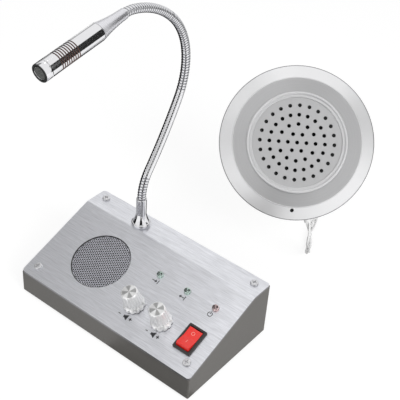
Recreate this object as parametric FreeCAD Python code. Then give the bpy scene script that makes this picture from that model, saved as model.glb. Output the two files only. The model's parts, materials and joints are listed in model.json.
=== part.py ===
"""Teller window intercom: a counter unit with a gooseneck microphone, two volume knobs, a rocker
switch, three indicator lamps and a loudspeaker, and the round window unit on its twisted lead.

Millimetres. The origin lies on the desk, under the middle of the counter unit. +X runs along the
unit to the right, -Y faces the teller and +Z is up. Writes one STEP file per piece to parts/.
"""
import FreeCAD, Part
import os
from math import acos, asin, atan2, cos, degrees, pi, radians, sin, tan
from FreeCAD import Placement, Rotation, Vector

# ---- case and panel ----
case_length = 161.4
case_depth = 89.0
case_front_height = 19.1  # outer height at the front edge, with the panel, without the feet
case_rear_height = 45.0
case_corner_radius = 1.0
case_inner_round = 0.5
case_wall = 2.0
ledge_depth = 18.8  # the level strip behind the sloping panel
panel_thickness = 1.5
panel_corner_radius = 2.5
panel_bend_radius = 2.0  # inside the bend
foot_height = 2.0
foot_radius = 5.0
foot_inset_x = 13.0  # from the case's side to the foot's centre
foot_inset_y = 12.0
foot_chamfer = 0.6

# ---- panel screws ----
screw_side_inset = 9.0  # from the case's side
front_screw_up = 9.0  # up the slope from the front edge
rear_screw_inset = 7.5  # from the rear edge
screw_head_radius = 3.0
screw_head_height = 1.7
screw_head_round = 0.9
screw_shank_radius = 1.5
screw_shank_length = 9.0
screw_end_gap = 1.0  # under the screw in its post
screw_hole_clearance = 0.1
thread_clearance = 0.02
recess_length = 3.4
recess_width = 0.7
recess_depth = 1.0
boss_radius = 4.0

# ---- controls, in columns along X and rows up the slope ----
first_column_x = 11.7
column_pitch = 25.4
control_row = 23.9
lamp_row = 53.0
face_cut_reach = 5.0  # how far a cutter runs past the panel

knob_gap = 0.6  # under the knob's skirt
knob_height = 18.0  # its top above the panel
knob_skirt_radius = 8.0
knob_skirt_height = 2.2
knob_grip_radius = 6.9
knob_grip_top_radius = 6.1
knob_top_chamfer = 0.8
knob_flare_height = 1.8
knob_flute_count = 18
knob_flute_radius = 0.75
knob_flute_depth = 0.45
knob_notch_count = 12
knob_notch_radius = 1.1
knob_notch_depth = 0.7
knob_recess_radius = 6.4
knob_recess_step_radius = 4.3
knob_recess_gap = 0.5  # over the nut and over the bush
knob_bore_top_wall = 2.6
cap_radius = 5.1
cap_thickness = 0.6
cap_dish = 0.35  # how far the turned face falls from its middle to its rim

pot_radius = 8.2
pot_depth = 8.0
pot_bush_radius = 3.5
pot_bush_height = 4.6  # above the panel
pot_pin_radius = 0.5
pot_pin_pitch = 5.0
pot_pin_offset = 5.5
shaft_radius = 3.0
shaft_running_clearance = 0.04
shaft_depth = 5.6  # into the pot, below the panel's underside
shaft_end_clearance = 0.3
knob_fit_clearance = 0.02
nut_across_flats = 10.0
nut_height = 2.0
washer_radius = 5.6
washer_thickness = 0.5
hole_clearance = 0.15

lamp_radius = 2.5
lamp_flange_radius = 2.95
lamp_flange_height = 1.0
lamp_rise = 0.9  # straight part above the panel, under the dome
lamp_leg_width = 0.5
lamp_leg_pitch = 2.54

bezel_length = 21.0
bezel_width = 15.0
bezel_height = 1.8
bezel_corner_radius = 1.0
bezel_edge_chamfer = 0.6
switch_body_length = 19.0
switch_body_width = 12.8
switch_body_depth = 13.0
switch_floor = 5.0
rocker_radius = 8.5  # from the pivot to the ends
rocker_half_width = 5.4
rocker_clearance = 0.3
rocker_pivot_drop = 1.0  # pivot below the panel's face
rocker_throw = 16.0  # degrees from one side to the other
rocker_off_rise = 0.1  # how far the pressed half's end stands over the bezel
rocker_pin_radius = 1.0
rocker_pin_length = 0.6
rocker_edge_round = 0.5
rocker_foot_half = 3.0
rocker_foot_drop = 5.5
rocker_side_drop = 15.0  # degrees below the pivot where the ends stop
terminal_width = 4.75
terminal_thickness = 0.8
terminal_length = 6.5
terminal_pitch = 6.0

# ---- loudspeaker under the panel ----
speaker_x = -34.2
speaker_up = 38.3
speaker_hole_radius = 22.8
grille_overlap = 2.0
grille_thickness = 0.6
grille_rise = 0.7  # of its middle, into the panel's hole
grille_hole_gap = 0.3
basket_radius = 25.0
basket_flange_thickness = 0.8
basket_depth = 9.5
basket_throat_radius = 11.0
basket_shell = 0.8
cone_radius = 21.0
cone_throat_radius = 7.0
cone_gap = 0.6  # over the basket's floor
cone_thickness = 0.5
cone_rim_drop = 0.1  # below the basket's rim
cone_root = 0.8  # where the paper meets the dust cap
dust_cap_height = 1.5
funnel_inset = 2.5  # from the basket's edge to its funnel
basket_foot = 2.0  # from the throat out to the funnel's foot
basket_hole_inset = 3.0  # from the throat in to the hole
magnet_radius = 13.5
magnet_thickness = 6.0
clip_count = 4
clip_width = 6.0
clip_thickness = 1.0
clip_reach = 2.0
clip_foot = 5.0

# ---- circuit board ----
board_drop = 9.5  # from the panel's underside to the board
board_thickness = 1.6
board_low_x = -3.0
board_step_x = 50.5
board_side_gap = 7.0  # from the case's outer side
board_low_row = 12.0
board_step_row = 41.0
board_high_row = 65.0
spacer_radius = 2.6
spacer_edge = 4.0  # from the board's edges to the spacers' middle
spacer_inner_places = ((24.3, 16.0), (49.7, 60.5))
board_screw_radius = 1.25
board_screw_head_radius = 2.4
board_screw_head_height = 1.5
board_screw_length = 5.0
chip_size = (10.0, 6.0, 2.4)
chip_places = ((6.0, 42.0), (24.0, 36.0), (42.0, 42.0))
capacitor_radius = 3.2
capacitor_height = 8.0
capacitor_places = ((10.0, 56.0), (20.0, 56.0), (30.0, 60.0), (42.0, 56.0), (60.0, 52.0))

# ---- gooseneck: lengths of the hose's spans, and how far each turns, + to the rear ----
neck_x = -31.4
neck_rear_inset = 12.3  # from the rear edge
hose_radius = 3.25
hose_bore = 1.7
hose_lengths = (25.0, 23.0, 56.5, 34.5, 39.5, 44.0, 9.5)
hose_turns = (0.0, 36.0, -8.5, -33.0, -41.5, -34.0, -19.5)  # degrees
hose_joint_places = (40.0, 82.0, 122.0, 162.0, 202.0)  # along the hose
ball_clearance = 0.3
ferrule_flange_radius = 7.3
ferrule_collar_height = 3.4
ferrule_flare_height = 10.5
ferrule_stem_radius = 3.95
ferrule_height = 24.4
ferrule_thread_radius = 4.0
ferrule_thread_length = 7.5  # below the ledge's face
ferrule_flare_radius = 4.85  # halfway up the flare
ferrule_edge_round = 1.0
ferrule_nut_flats = 12.0
ferrule_nut_height = 3.0
ferrule_washer_radius = 5.8
ferrule_washer_thickness = 1.0
hose_fit_clearance = 0.05

# ---- microphone ----
mic_length = 73.0
mic_tail_length = 23.0
mic_tail_grip = 8.0  # hose inside the tail
mic_tail_radius = 3.7
mic_tail_lip = 1.0  # how far the tail reaches back over the hose
mic_tail_edge = 0.3
mic_waist_radius = 4.5  # partway up the taper
mic_waist_place = 12.0
mic_taper_end = 22.6
mic_spigot_length = 3.0
mic_barrel_radius = 6.25
mic_wall = 0.9
mic_rim_length = 5.6
mic_rim_lip = 1.3
mic_groove_count = 9
mic_groove_pitch = 1.8
mic_groove_width = 0.8
mic_groove_depth = 0.4
mic_groove_start = 13.6  # from the face to the first groove
mic_seam = 0.35
mesh_recess = 0.5
mesh_thickness = 0.6
mesh_dome = 0.2
capsule_radius = 4.85
capsule_length = 6.7

# ---- sockets in the rear wall ----
socket_height = 20.0
inlet_side_inset = 46.0  # from the case's right side
inlet_flange_radius = 6.6
inlet_barrel_radius = 5.5
inlet_bore_radius = 2.85
inlet_bore_depth = 9.5
inlet_pin_radius = 1.05
inlet_pin_length = 8.0
inlet_length = 14.0
inlet_nut_flats = 14.0
jack_side_inset = 22.0
jack_flange_radius = 4.6
jack_barrel_radius = 3.0
jack_bore_radius = 1.8
jack_bore_depth = 14.5
jack_length = 17.0
jack_nut_flats = 8.0
socket_flange = 1.6
socket_nut_height = 2.0
rim_chamfer = 0.4

# ---- window unit ----
window_x = 27.7  # middle of the front rim
window_y = 144.7
window_z = 94.0
window_azimuth = 36.3  # the way it faces: degrees from -Y towards +X
window_elevation = 37.3  # and degrees above level
window_radius = 60.0
window_bevel_radius = 49.9  # inner edge of the bevel
window_bevel_rise = 5.0
window_rim_edge = 1.4
window_face_thickness = 2.2
window_bevel_step = 1.0  # how much further in the bevel's underside starts
window_lip = 0.2
bead_outer_radius = 39.2
bead_inner_radius = 34.8
bead_rise = 1.6
bead_width = 2.3  # of its rounded outer part
bead_shoulder = 0.56  # where its rounded top starts
bead_step = 0.2  # the flat between the rounded part and the lip, over the band
bead_lip_width = 0.8
bead_lip_rise = 0.5
window_grille_thickness = 1.2
window_grille_drop = 0.6
window_hole_radius = 1.5
window_ring_radii = (7.15, 14.2, 21.4, 28.7)
window_ring_counts = (6, 12, 20, 24)
window_mic_offset = 52.3
window_mic_hole_radius = 1.5
back_radius = 57.5
back_depth = 17.0
back_wall = 1.8
back_edge_round = 3.0
pad_inner_radius = 30.0
pad_outer_radius = 50.0
pad_thickness = 1.5
pad_screw_gap = 0.6
window_basket_radius = 33.0
window_basket_depth = 8.0
window_throat_radius = 13.0
window_cone_radius = 28.2
window_magnet_radius = 15.0
window_magnet_thickness = 5.0
window_post_radius = 3.0
window_post_offset = 45.0
window_post_count = 3
window_screw_head_radius = 2.6
window_screw_head_height = 1.4
window_screw_length = 9.0
window_capsule_radius = 3.0
window_capsule_length = 2.7
window_gasket_radius = 3.4
window_gasket_length = 3.4

# ---- twisted lead ----
lead_radius = 2.2  # two cores laid side by side and twisted
lead_exit_turn = 13.5  # degrees round from the window unit's lowest point
lead_exit_drop = 9.0  # behind the front rim
grommet_length = 5.0
grommet_radius = 3.4
grommet_neck_radius = 2.38
grommet_flange = 1.25
grommet_inner_gap = 0.2  # the cup's wall is curved, so the flanges stand a little off it
grommet_outer_gap = 0.3
grommet_tip_wall = 0.5
lead_first_run = 11.2  # straight out of the grommet
lead_route = (
    (62.8, 125.6, 19.9),
    (59.8, 131.8, 8.6),
    (53.6, 143.0, 2.2),
    (44.8, 159.6, 2.2),
    (37.6, 175.4, 2.2),
    (34.3, 192.4, 2.2),
    (34.4, 208.4, 2.2),
)
coil_x = 5.0
coil_y = 212.0
coil_turn_radius = 25.0  # at the middle of the turns
coil_columns = 3
coil_rows = 4
coil_edge_round = 1.6
tail_length = 22.0
plug_boot_length = 14.0
plug_boot_radius = 2.9
plug_shell_length = 18.0
plug_shell_radius = 4.4
plug_tip_length = 14.0
plug_tip_radius = 1.75
plug_tip_nose = 1.2
plug_waist_radius = 1.26
plug_nose_radius = 0.7
plug_boot_wall = 0.3

# ---- places worked out from the sizes above ----
front_z = foot_height + case_front_height
rear_z = foot_height + case_rear_height
crease_y = case_depth / 2 - ledge_depth
neck_y = case_depth / 2 - neck_rear_inset
bevel_inner_radius = window_bevel_radius - window_bevel_step
screw_column_x = case_length / 2 - screw_side_inset
board_high_x = case_length / 2 - board_side_gap
inlet_x = case_length / 2 - inlet_side_inset
jack_x = case_length / 2 - jack_side_inset
slope_angle = atan2(case_rear_height - case_front_height, case_depth - ledge_depth)
under = -panel_thickness  # the panel's underside in the panel's own frame
lamp_columns = tuple(first_column_x + column_pitch * k for k in range(3))
spacer_row = board_high_row - spacer_edge
spacer_places = spacer_inner_places + (
    (board_low_x + spacer_edge, spacer_row),
    (board_high_x - spacer_edge, spacer_row),
)
hose_spans = tuple(zip(hose_lengths, hose_turns))
hose_foot = ferrule_height - mic_tail_grip
knob_columns = lamp_columns[:2]
switch_x = lamp_columns[2]
board_top = under - board_drop
board_bottom = board_top - board_thickness
window_place = Vector(window_x, window_y, window_z)
coil_place = Vector(coil_x, coil_y, 0)
UP = Vector(0, 0, 1)
X_AXIS = Vector(1, 0, 0)
CUT = 50.0  # longer than any hole is deep
OVER = 1.0  # how far a cutter runs past a face
SAME = 0.01  # points closer than this are one


# ---- small helpers ----
def moved(shape, place):
    out = shape.copy()
    out.Placement = place.multiply(shape.Placement)
    return out


def on_slope(shape, x, row):
    """Carry a shape from the panel's own frame (z out of the panel) to column x and row up the slope."""
    base = Vector(x, -case_depth / 2 + row * cos(slope_angle), front_z + row * sin(slope_angle))
    return moved(shape, Placement(base, Rotation(X_AXIS, degrees(slope_angle))))


def on_ledge(shape, x, y):
    return moved(shape, Placement(Vector(x, y, rear_z), Rotation()))


def on_rear(shape, x):
    """Carry a shape whose z points out of the wall to the case's rear face."""
    place = Vector(x, case_depth / 2, foot_height + socket_height)
    return moved(shape, Placement(place, Rotation(X_AXIS, -90)))


def on_window(shape):
    """Carry a shape from the window unit's own frame (z out of its face, y up) to its place."""
    lean = Rotation(X_AXIS, 90 - window_elevation)
    turn = Rotation(UP, window_azimuth)
    return moved(shape, Placement(window_place, turn.multiply(lean)))


def rod(radius, low, high, x=0.0, y=0.0):
    return Part.makeCylinder(radius, high - low, Vector(x, y, low))


def ring(outer, inner, low, high, x=0.0, y=0.0):
    return rod(outer, low, high, x, y).cut(rod(inner, low - OVER, high + OVER, x, y))


def block(size_x, size_y, low, high, x=0.0, y=0.0):
    return Part.makeBox(size_x, size_y, high - low, Vector(x - size_x / 2, y - size_y / 2, low))


def lathe(points):
    """Turn an outline of (radius, z) points round the z axis. A tuple of four
    starts an arc, and its last two values are a point on it."""
    edges = []
    flat = [Vector(p[0], 0, p[1]) for p in points]
    for here, after, raw in zip(flat, flat[1:] + flat[:1], points):
        if len(raw) == 4:
            edges.append(Part.Arc(here, Vector(raw[2], 0, raw[3]), after).toShape())
        else:
            edges.append(Part.makeLine(here, after))
    return Part.Face(Part.Wire(edges)).revolve(Vector(0, 0, 0), UP, 360)


def hexagon(across_flats, low, high):
    corner = across_flats / 2 / cos(radians(30))
    points = [Vector(corner * cos(k * pi / 3), corner * sin(k * pi / 3), low) for k in range(7)]
    return Part.Face(Part.makePolygon(points)).extrude(Vector(0, 0, high - low))


def around(shape, count, start=0.0):
    """Copies of a shape turned evenly about the z axis."""
    return [moved(shape, Placement(Vector(), Rotation(UP, start + 360.0 * k / count))) for k in range(count)]


def edges_at(shape, test):
    return [e for e in shape.Edges if all(test(v.Point) for v in e.Vertexes)]


def upright_edges(box, height):
    return [e for e in box.Edges if abs(e.Vertexes[0].Z - e.Vertexes[-1].Z) > height / 2]


def rounded_block(size_x, size_y, low, high, radius):
    box = block(size_x, size_y, low, high)
    return box.makeFillet(radius, upright_edges(box, high - low))


def x_prism(points, low, high):
    outline = [Vector(low, y, z) for y, z in points]
    return Part.Face(Part.makePolygon(outline + outline[:1])).extrude(Vector(high - low, 0, 0))


# ---- case, panel and feet ----
def below_panel():
    """Outline in Y and Z of all that lies under the panel."""
    slope_under = panel_thickness / cos(slope_angle)
    crease_under = crease_y + panel_thickness * tan(slope_angle / 2)
    return [
        (-case_depth / 2, foot_height),
        (case_depth / 2, foot_height),
        (case_depth / 2, rear_z - panel_thickness),
        (crease_under, rear_z - panel_thickness),
        (-case_depth / 2, front_z - slope_under),
    ]


def plan_prism(radius, inset=0.0):
    """The case's outline seen from above, drawn in by an inset, from its floor up."""
    return rounded_block(
        case_length - 2 * inset, case_depth - 2 * inset, foot_height + inset, rear_z + OVER, radius
    )


def screw_spots():
    """Each panel screw as (carry, x, second coordinate)."""
    rear_y = case_depth / 2 - rear_screw_inset
    spots = [(on_slope, x, front_screw_up) for x in (-screw_column_x, screw_column_x)]
    return spots + [(on_ledge, x, rear_y) for x in (-screw_column_x, screw_column_x)]


def crease_edge(prism, y, z):
    return edges_at(prism, lambda p: abs(p.y - y) < SAME and abs(p.z - z) < SAME)


def base_case():
    outline = below_panel()
    under_panel = x_prism(outline, -case_length / 2, case_length / 2)
    under_panel = under_panel.makeFillet(panel_bend_radius, crease_edge(under_panel, *outline[3]))
    outer = under_panel.common(plan_prism(case_corner_radius))
    room = under_panel.common(plan_prism(case_inner_round, case_wall))
    shell = outer.cut(room)
    for carry, x, along in screw_spots():
        post = carry(rod(boss_radius, -CUT, under), x, along).common(room)
        shell = shell.fuse(post)
    for carry, x, along in screw_spots():
        bore = rod(screw_shank_radius + thread_clearance, -screw_shank_length - screw_end_gap, 0)
        shell = shell.cut(carry(bore, x, along))
    for radius, x in ((inlet_barrel_radius, inlet_x), (jack_barrel_radius, jack_x)):
        shell = shell.cut(on_rear(rod(radius + hole_clearance, -2 * case_wall, case_wall), x))
    return shell.removeSplitter()


def panel_sheet():
    lower = below_panel()[2:]
    upper = [(-case_depth / 2, front_z), (crease_y, rear_z), (case_depth / 2, rear_z)]
    sheet = x_prism(lower + upper, -case_length / 2, case_length / 2)
    outer_radius = panel_bend_radius + panel_thickness
    sheet = sheet.makeFillet(outer_radius, crease_edge(sheet, crease_y, rear_z))
    sheet = sheet.makeFillet(panel_bend_radius, crease_edge(sheet, *lower[1]))
    return sheet.common(plan_prism(panel_corner_radius))


def panel_hole(radius):
    return rod(radius, -face_cut_reach, face_cut_reach)


def top_panel():
    sheet = panel_sheet()
    cuts = [on_slope(panel_hole(speaker_hole_radius), speaker_x, speaker_up)]
    for x in lamp_columns:
        cuts.append(on_slope(panel_hole(lamp_radius + hole_clearance), x, lamp_row))
    for x in knob_columns:
        cuts.append(on_slope(panel_hole(pot_bush_radius + hole_clearance), x, control_row))
    opening_x = switch_body_width + 2 * hole_clearance
    opening_y = switch_body_length + 2 * hole_clearance
    opening = block(opening_x, opening_y, -face_cut_reach, face_cut_reach)
    cuts.append(on_slope(opening, switch_x, control_row))
    cuts.append(on_ledge(panel_hole(ferrule_thread_radius + hole_clearance), neck_x, neck_y))
    for carry, x, along in screw_spots():
        cuts.append(carry(panel_hole(screw_shank_radius + screw_hole_clearance), x, along))
    for cut in cuts:
        sheet = sheet.cut(cut)
    return sheet


def cross_recess(top):
    slot = block(recess_length, recess_width, top - recess_depth, top + OVER)
    other = block(recess_width, recess_length, top - recess_depth, top + OVER)
    return slot.fuse(other)


def round_screw(head_radius, head_height, shank_radius, shank_length, head_round):
    """A pan-head screw standing on z = 0, shank down."""
    head = rod(head_radius, 0, head_height)
    top = edges_at(head, lambda p: p.z > head_height / 2)
    head = head.makeFillet(head_round, top)
    return head.fuse(rod(shank_radius, -shank_length, 0)).cut(cross_recess(head_height))


def panel_screws():
    screw = round_screw(
        screw_head_radius, screw_head_height, screw_shank_radius, screw_shank_length, screw_head_round
    )
    return [carry(screw, x, along) for carry, x, along in screw_spots()]


def rubber_feet():
    feet = []
    for side_x in (-1, 1):
        for side_y in (-1, 1):
            foot = rod(foot_radius, 0, foot_height)
            foot = foot.makeChamfer(foot_chamfer, edges_at(foot, lambda p: p.z < foot_height / 2))
            place = Vector(
                side_x * (case_length / 2 - foot_inset_x), side_y * (case_depth / 2 - foot_inset_y), 0
            )
            feet.append(moved(foot, Placement(place, Rotation())))
    return feet


# ---- knobs, pots and switch ----
def knob():
    """Fluted grip on a notched skirt, hollow underneath for the nut, with a bore for the shaft."""
    skirt_top = knob_gap + knob_skirt_height
    grip_low = skirt_top + knob_flare_height
    body = lathe([
        (0, knob_gap), (knob_skirt_radius, knob_gap), (knob_skirt_radius, skirt_top),
        (knob_grip_radius, grip_low), (knob_grip_top_radius, knob_height - knob_top_chamfer),
        (knob_grip_top_radius - knob_top_chamfer, knob_height), (0, knob_height),
    ])
    flute_place = knob_grip_radius + knob_flute_radius - knob_flute_depth
    lean = degrees(atan2(knob_grip_radius - knob_grip_top_radius, knob_height - grip_low))
    flute = rod(knob_flute_radius, 0, knob_height)
    flute = moved(flute, Placement(Vector(flute_place, 0, grip_low), Rotation(Vector(0, 1, 0), -lean)))
    for cut in around(flute, knob_flute_count):
        body = body.cut(cut)
    notch_place = knob_skirt_radius + knob_notch_radius - knob_notch_depth
    notch = rod(knob_notch_radius, 0, skirt_top + knob_flare_height / 2, notch_place)
    for cut in around(notch, knob_notch_count, 180.0 / knob_notch_count):
        body = body.cut(cut)
    body = body.cut(rod(knob_recess_radius, 0, washer_thickness + nut_height + knob_recess_gap))
    body = body.cut(rod(knob_recess_step_radius, 0, pot_bush_height + knob_recess_gap))
    body = body.cut(rod(shaft_radius + knob_fit_clearance, 0, knob_height - knob_bore_top_wall))
    return body.cut(rod(cap_radius, knob_height - cap_thickness, knob_height + OVER))


def knob_cap():
    """The turned disc let into the knob's top."""
    low = knob_height - cap_thickness
    return lathe([(0, low), (cap_radius, low), (cap_radius, knob_height), (0, knob_height + cap_dish)])


def pot_housing():
    low = under - pot_depth
    body = rod(pot_radius, low, under).fuse(rod(pot_bush_radius, under, pot_bush_height))
    for k in (-1, 0, 1):
        pin = rod(pot_pin_radius, board_top, low, k * pot_pin_pitch, -pot_pin_offset + abs(k))
        body = body.fuse(pin)
    bore = shaft_radius + shaft_running_clearance
    return body.cut(rod(bore, under - shaft_depth - shaft_end_clearance, pot_bush_height + OVER))


def pot_shaft():
    return rod(shaft_radius, under - shaft_depth, knob_height - knob_bore_top_wall)


def pot_nut():
    return hexagon(nut_across_flats, washer_thickness, washer_thickness + nut_height).cut(
        rod(pot_bush_radius + thread_clearance, 0, CUT)
    )


def pot_washer():
    return ring(washer_radius, pot_bush_radius + hole_clearance, 0, washer_thickness)


def lamp():
    """A 5 mm indicator: dome, rim under the panel and two legs down to the board."""
    body = rod(lamp_radius, under, lamp_rise)
    body = body.fuse(Part.makeSphere(lamp_radius, Vector(0, 0, lamp_rise), UP, 0, 90, 360))
    body = body.fuse(rod(lamp_flange_radius, under - lamp_flange_height, under))
    for side in (-1, 1):
        leg_top = under - lamp_flange_height
        leg = block(lamp_leg_width, lamp_leg_width, board_top, leg_top, side * lamp_leg_pitch / 2)
        body = body.fuse(leg)
    return body.removeSplitter()


def switch_housing():
    room_x = 2 * (rocker_half_width + rocker_clearance)
    room_y = 2 * (rocker_radius + rocker_clearance)
    frame = rounded_block(bezel_width, bezel_length, 0, bezel_height, bezel_corner_radius)
    top = edges_at(frame, lambda p: abs(p.z - bezel_height) < SAME)
    frame = frame.makeChamfer(bezel_edge_chamfer, top)
    body = frame.fuse(block(switch_body_width, switch_body_length, -switch_body_depth, 0))
    body = body.cut(block(room_x, room_y, switch_floor - switch_body_depth, bezel_height + OVER))
    pin_room = rod(rocker_pin_radius + shaft_running_clearance, -bezel_width, bezel_width)
    across = Placement(Vector(0, 0, -rocker_pivot_drop), Rotation(Vector(0, 1, 0), 90))
    pin_span = block(2 * (rocker_half_width + rocker_pin_length) + rocker_clearance, room_y, -CUT, CUT)
    return body.cut(moved(pin_room, across).common(pin_span)).removeSplitter()


def rocker_flat():
    """The rocker at the middle of its throw, in the panel's frame."""
    half = radians(rocker_throw / 2)
    pivot = -rocker_pivot_drop
    flush = asin((bezel_height + rocker_off_rise - pivot) / rocker_radius)
    top_angle = flush + half
    corner = (rocker_radius * cos(top_angle), pivot + rocker_radius * sin(top_angle))
    valley = corner[1] - corner[0] * tan(half)
    low_angle = -radians(rocker_side_drop)
    low = (rocker_radius * cos(low_angle), pivot + rocker_radius * sin(low_angle))
    width = rocker_half_width
    foot = (rocker_foot_half, pivot - rocker_foot_drop)

    def at(y, z):
        return Vector(-width, y, z)

    end = (rocker_radius, pivot)
    edges = [
        Part.makeLine(at(0, valley), at(*corner)),
        Part.Arc(at(*corner), at(*end), at(*low)).toShape(),
        Part.makeLine(at(*low), at(*foot)),
        Part.makeLine(at(*foot), at(-foot[0], foot[1])),
        Part.makeLine(at(-foot[0], foot[1]), at(-low[0], low[1])),
        Part.Arc(at(-low[0], low[1]), at(-end[0], end[1]), at(-corner[0], corner[1])).toShape(),
        Part.makeLine(at(-corner[0], corner[1]), at(0, valley)),
    ]
    body = Part.Face(Part.Wire(edges)).extrude(Vector(2 * width, 0, 0))
    ends = edges_at(body, lambda p: p.z > corner[1] - SAME)
    body = body.makeFillet(rocker_edge_round, ends)
    pin_reach = width + rocker_pin_length
    pin = rod(rocker_pin_radius, -pin_reach, pin_reach)
    return body.fuse(moved(pin, Placement(Vector(0, 0, pivot), Rotation(Vector(0, 1, 0), 90))))


def switch_rocker():
    """At rest its rear half, the off side, is pressed in and its front half stands proud."""
    pivot = Vector(0, 0, -rocker_pivot_drop)
    turn = Placement(Vector(), Rotation(X_AXIS, -rocker_throw / 2), pivot)
    return moved(rocker_flat(), turn)


def switch_terminals():
    blades = []
    for k in (-1, 0, 1):
        low = -switch_body_depth - terminal_length
        blade = block(terminal_width, terminal_thickness, low, -switch_body_depth, 0, k * terminal_pitch)
        blades.append(blade)
    return blades


# ---- loudspeakers ----
def cone_shell(outer, inner, rim, depth):
    """A thin paper funnel hung from the basket's rim and closed by its dust cap."""
    top = rim - cone_rim_drop
    bottom = rim - depth + basket_shell + cone_gap
    return lathe([
        (0, bottom), (inner, bottom), (outer, top - cone_thickness), (outer, top),
        (inner, bottom + cone_root), (0, bottom + dust_cap_height),
    ])


def basket(radius, throat, top, depth):
    """A pressed basket: a flat rim and a funnel down to the magnet."""
    rim = top - basket_flange_thickness
    funnel = radius - funnel_inset
    low = top - depth
    hole = throat - basket_hole_inset
    foot = throat + basket_foot
    return lathe([
        (funnel - basket_shell, top), (radius, top), (radius, rim), (funnel, rim),
        (foot, low), (hole, low), (hole, low + basket_shell), (foot - basket_shell / 2, low + basket_shell),
    ])


def speaker_parts():
    """Grille, basket, cone, magnet and clips, stacked down from the panel's underside."""
    rim_top = under - grille_thickness
    low = rim_top - basket_depth
    seat = low - magnet_thickness
    cone = cone_shell(cone_radius, cone_throat_radius, rim_top, basket_depth)
    pieces = {
        "speaker_grille": [speaker_grille(rim_top)],
        "speaker_basket": [basket(basket_radius, basket_throat_radius, rim_top, basket_depth)],
        "speaker_cone": [cone],
        "speaker_magnet": [rod(magnet_radius, seat, low)],
    }
    clip = speaker_clip(rim_top - basket_flange_thickness)
    pieces["speaker_clips"] = around(clip, clip_count, 45.0)
    for name, shapes in pieces.items():
        pieces[name] = [on_slope(s, speaker_x, speaker_up) for s in shapes]
    return pieces


def speaker_grille(rim_low):
    """A pressed sheet: its rim lies under the panel, and its middle is raised into the panel's hole."""
    rim = speaker_hole_radius + grille_overlap
    middle = speaker_hole_radius - grille_hole_gap
    room = middle - grille_thickness
    return lathe([
        (0, rim_low + grille_rise), (room, rim_low + grille_rise), (room, rim_low), (rim, rim_low),
        (rim, under), (middle, under), (middle, under + grille_rise), (0, under + grille_rise),
    ])


def speaker_clip(rim_low):
    """A Z-shaped clip: its tongue holds the basket's rim up, its foot is welded under the panel."""
    inner = basket_radius - clip_reach
    outer = basket_radius + clip_thickness + hole_clearance + clip_foot
    wall = basket_radius + hole_clearance
    tongue = Part.makeBox(wall + clip_thickness - inner, clip_width, clip_thickness,
                          Vector(inner, -clip_width / 2, rim_low - clip_thickness))
    web = Part.makeBox(clip_thickness, clip_width, under - rim_low, Vector(wall, -clip_width / 2, rim_low))
    foot = Part.makeBox(outer - wall, clip_width, clip_thickness,
                        Vector(wall, -clip_width / 2, under - clip_thickness))
    return tongue.fuse(web).fuse(foot).removeSplitter()


# ---- circuit board ----
def main_board():
    low = board_bottom
    height = board_thickness
    wide = Part.makeBox(board_step_x - board_low_x, board_high_row - board_low_row, height,
                        Vector(board_low_x, board_low_row, low))
    arm = Part.makeBox(board_high_x - board_step_x, board_high_row - board_step_row, height,
                       Vector(board_step_x, board_step_row, low))
    board = wide.fuse(arm).removeSplitter()
    for x, row in spacer_places:
        board = board.cut(rod(board_screw_radius + hole_clearance, low - OVER, board_top + OVER, x, row))
    return board


def board_spacers():
    bore = board_screw_radius + thread_clearance
    return [ring(spacer_radius, bore, board_top, under, x, row) for x, row in spacer_places]


def board_screws():
    screws = []
    for x, row in spacer_places:
        screw = round_screw(board_screw_head_radius, board_screw_head_height, board_screw_radius,
                            board_screw_length, screw_head_round / 2)
        over = Placement(Vector(x, row, board_bottom), Rotation(X_AXIS, 180))
        screws.append(moved(screw, over))
    return screws


def board_components():
    size_x, size_y, height = chip_size
    parts = [block(size_x, size_y, board_bottom - height, board_bottom, x, row) for x, row in chip_places]
    for x, row in capacitor_places:
        parts.append(rod(capacitor_radius, board_bottom - capacitor_height, board_bottom, x, row))
    return parts


# ---- gooseneck ----
def neck_direction(tilt):
    return Vector(0, sin(tilt), cos(tilt))


def hose_stations():
    """The start of each span, as (distance, point, tilt in radians), and the hose's far end."""
    here = Vector(neck_x, neck_y, rear_z)
    tilt = 0.0
    gone = 0.0
    stations = [(gone, here, tilt)]
    for length, turn in hose_spans:
        here, tilt = along_span(here, tilt, length, radians(turn))
        gone += length
        stations.append((gone, here, tilt))
    return stations


def along_span(here, tilt, length, turn):
    if turn == 0:
        return here + neck_direction(tilt) * length, tilt
    bend = length / turn
    centre = here + Vector(0, cos(tilt), -sin(tilt)) * bend
    after = tilt + turn
    return centre - Vector(0, cos(after), -sin(after)) * bend, after


def hose_point(distance):
    """Point and tilt of the hose's middle line at a distance from the ledge."""
    stations = hose_stations()
    for (low, here, tilt), (high, _, _), (length, turn) in zip(stations, stations[1:], hose_spans):
        if distance <= high:
            part = (distance - low) / length
            return along_span(here, tilt, distance - low, radians(turn) * part)
    return stations[-1][1], stations[-1][2]


def sweep(radius, low, high):
    """The hose as a solid rod between two distances: straight runs and ring-shaped bends."""
    stations = hose_stations()
    pieces = []
    for (span_low, _, _), (span_high, _, _), (length, turn) in zip(stations, stations[1:], hose_spans):
        start = max(low, span_low)
        stop = min(high, span_high)
        if stop - start < SAME:
            continue
        point, tilt = hose_point(start)
        disc = Part.Face(Part.Wire(Part.makeCircle(radius, point, neck_direction(tilt))))
        bent = radians(turn) * (stop - start) / length
        if bent == 0:
            pieces.append(disc.extrude(neck_direction(tilt) * (stop - start)))
        else:
            centre = point + Vector(0, cos(tilt), -sin(tilt)) * ((stop - start) / bent)
            pieces.append(disc.revolve(centre, X_AXIS, -degrees(bent)))
    solid = pieces[0]
    for piece in pieces[1:]:
        solid = solid.fuse(piece)
    return solid


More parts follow.
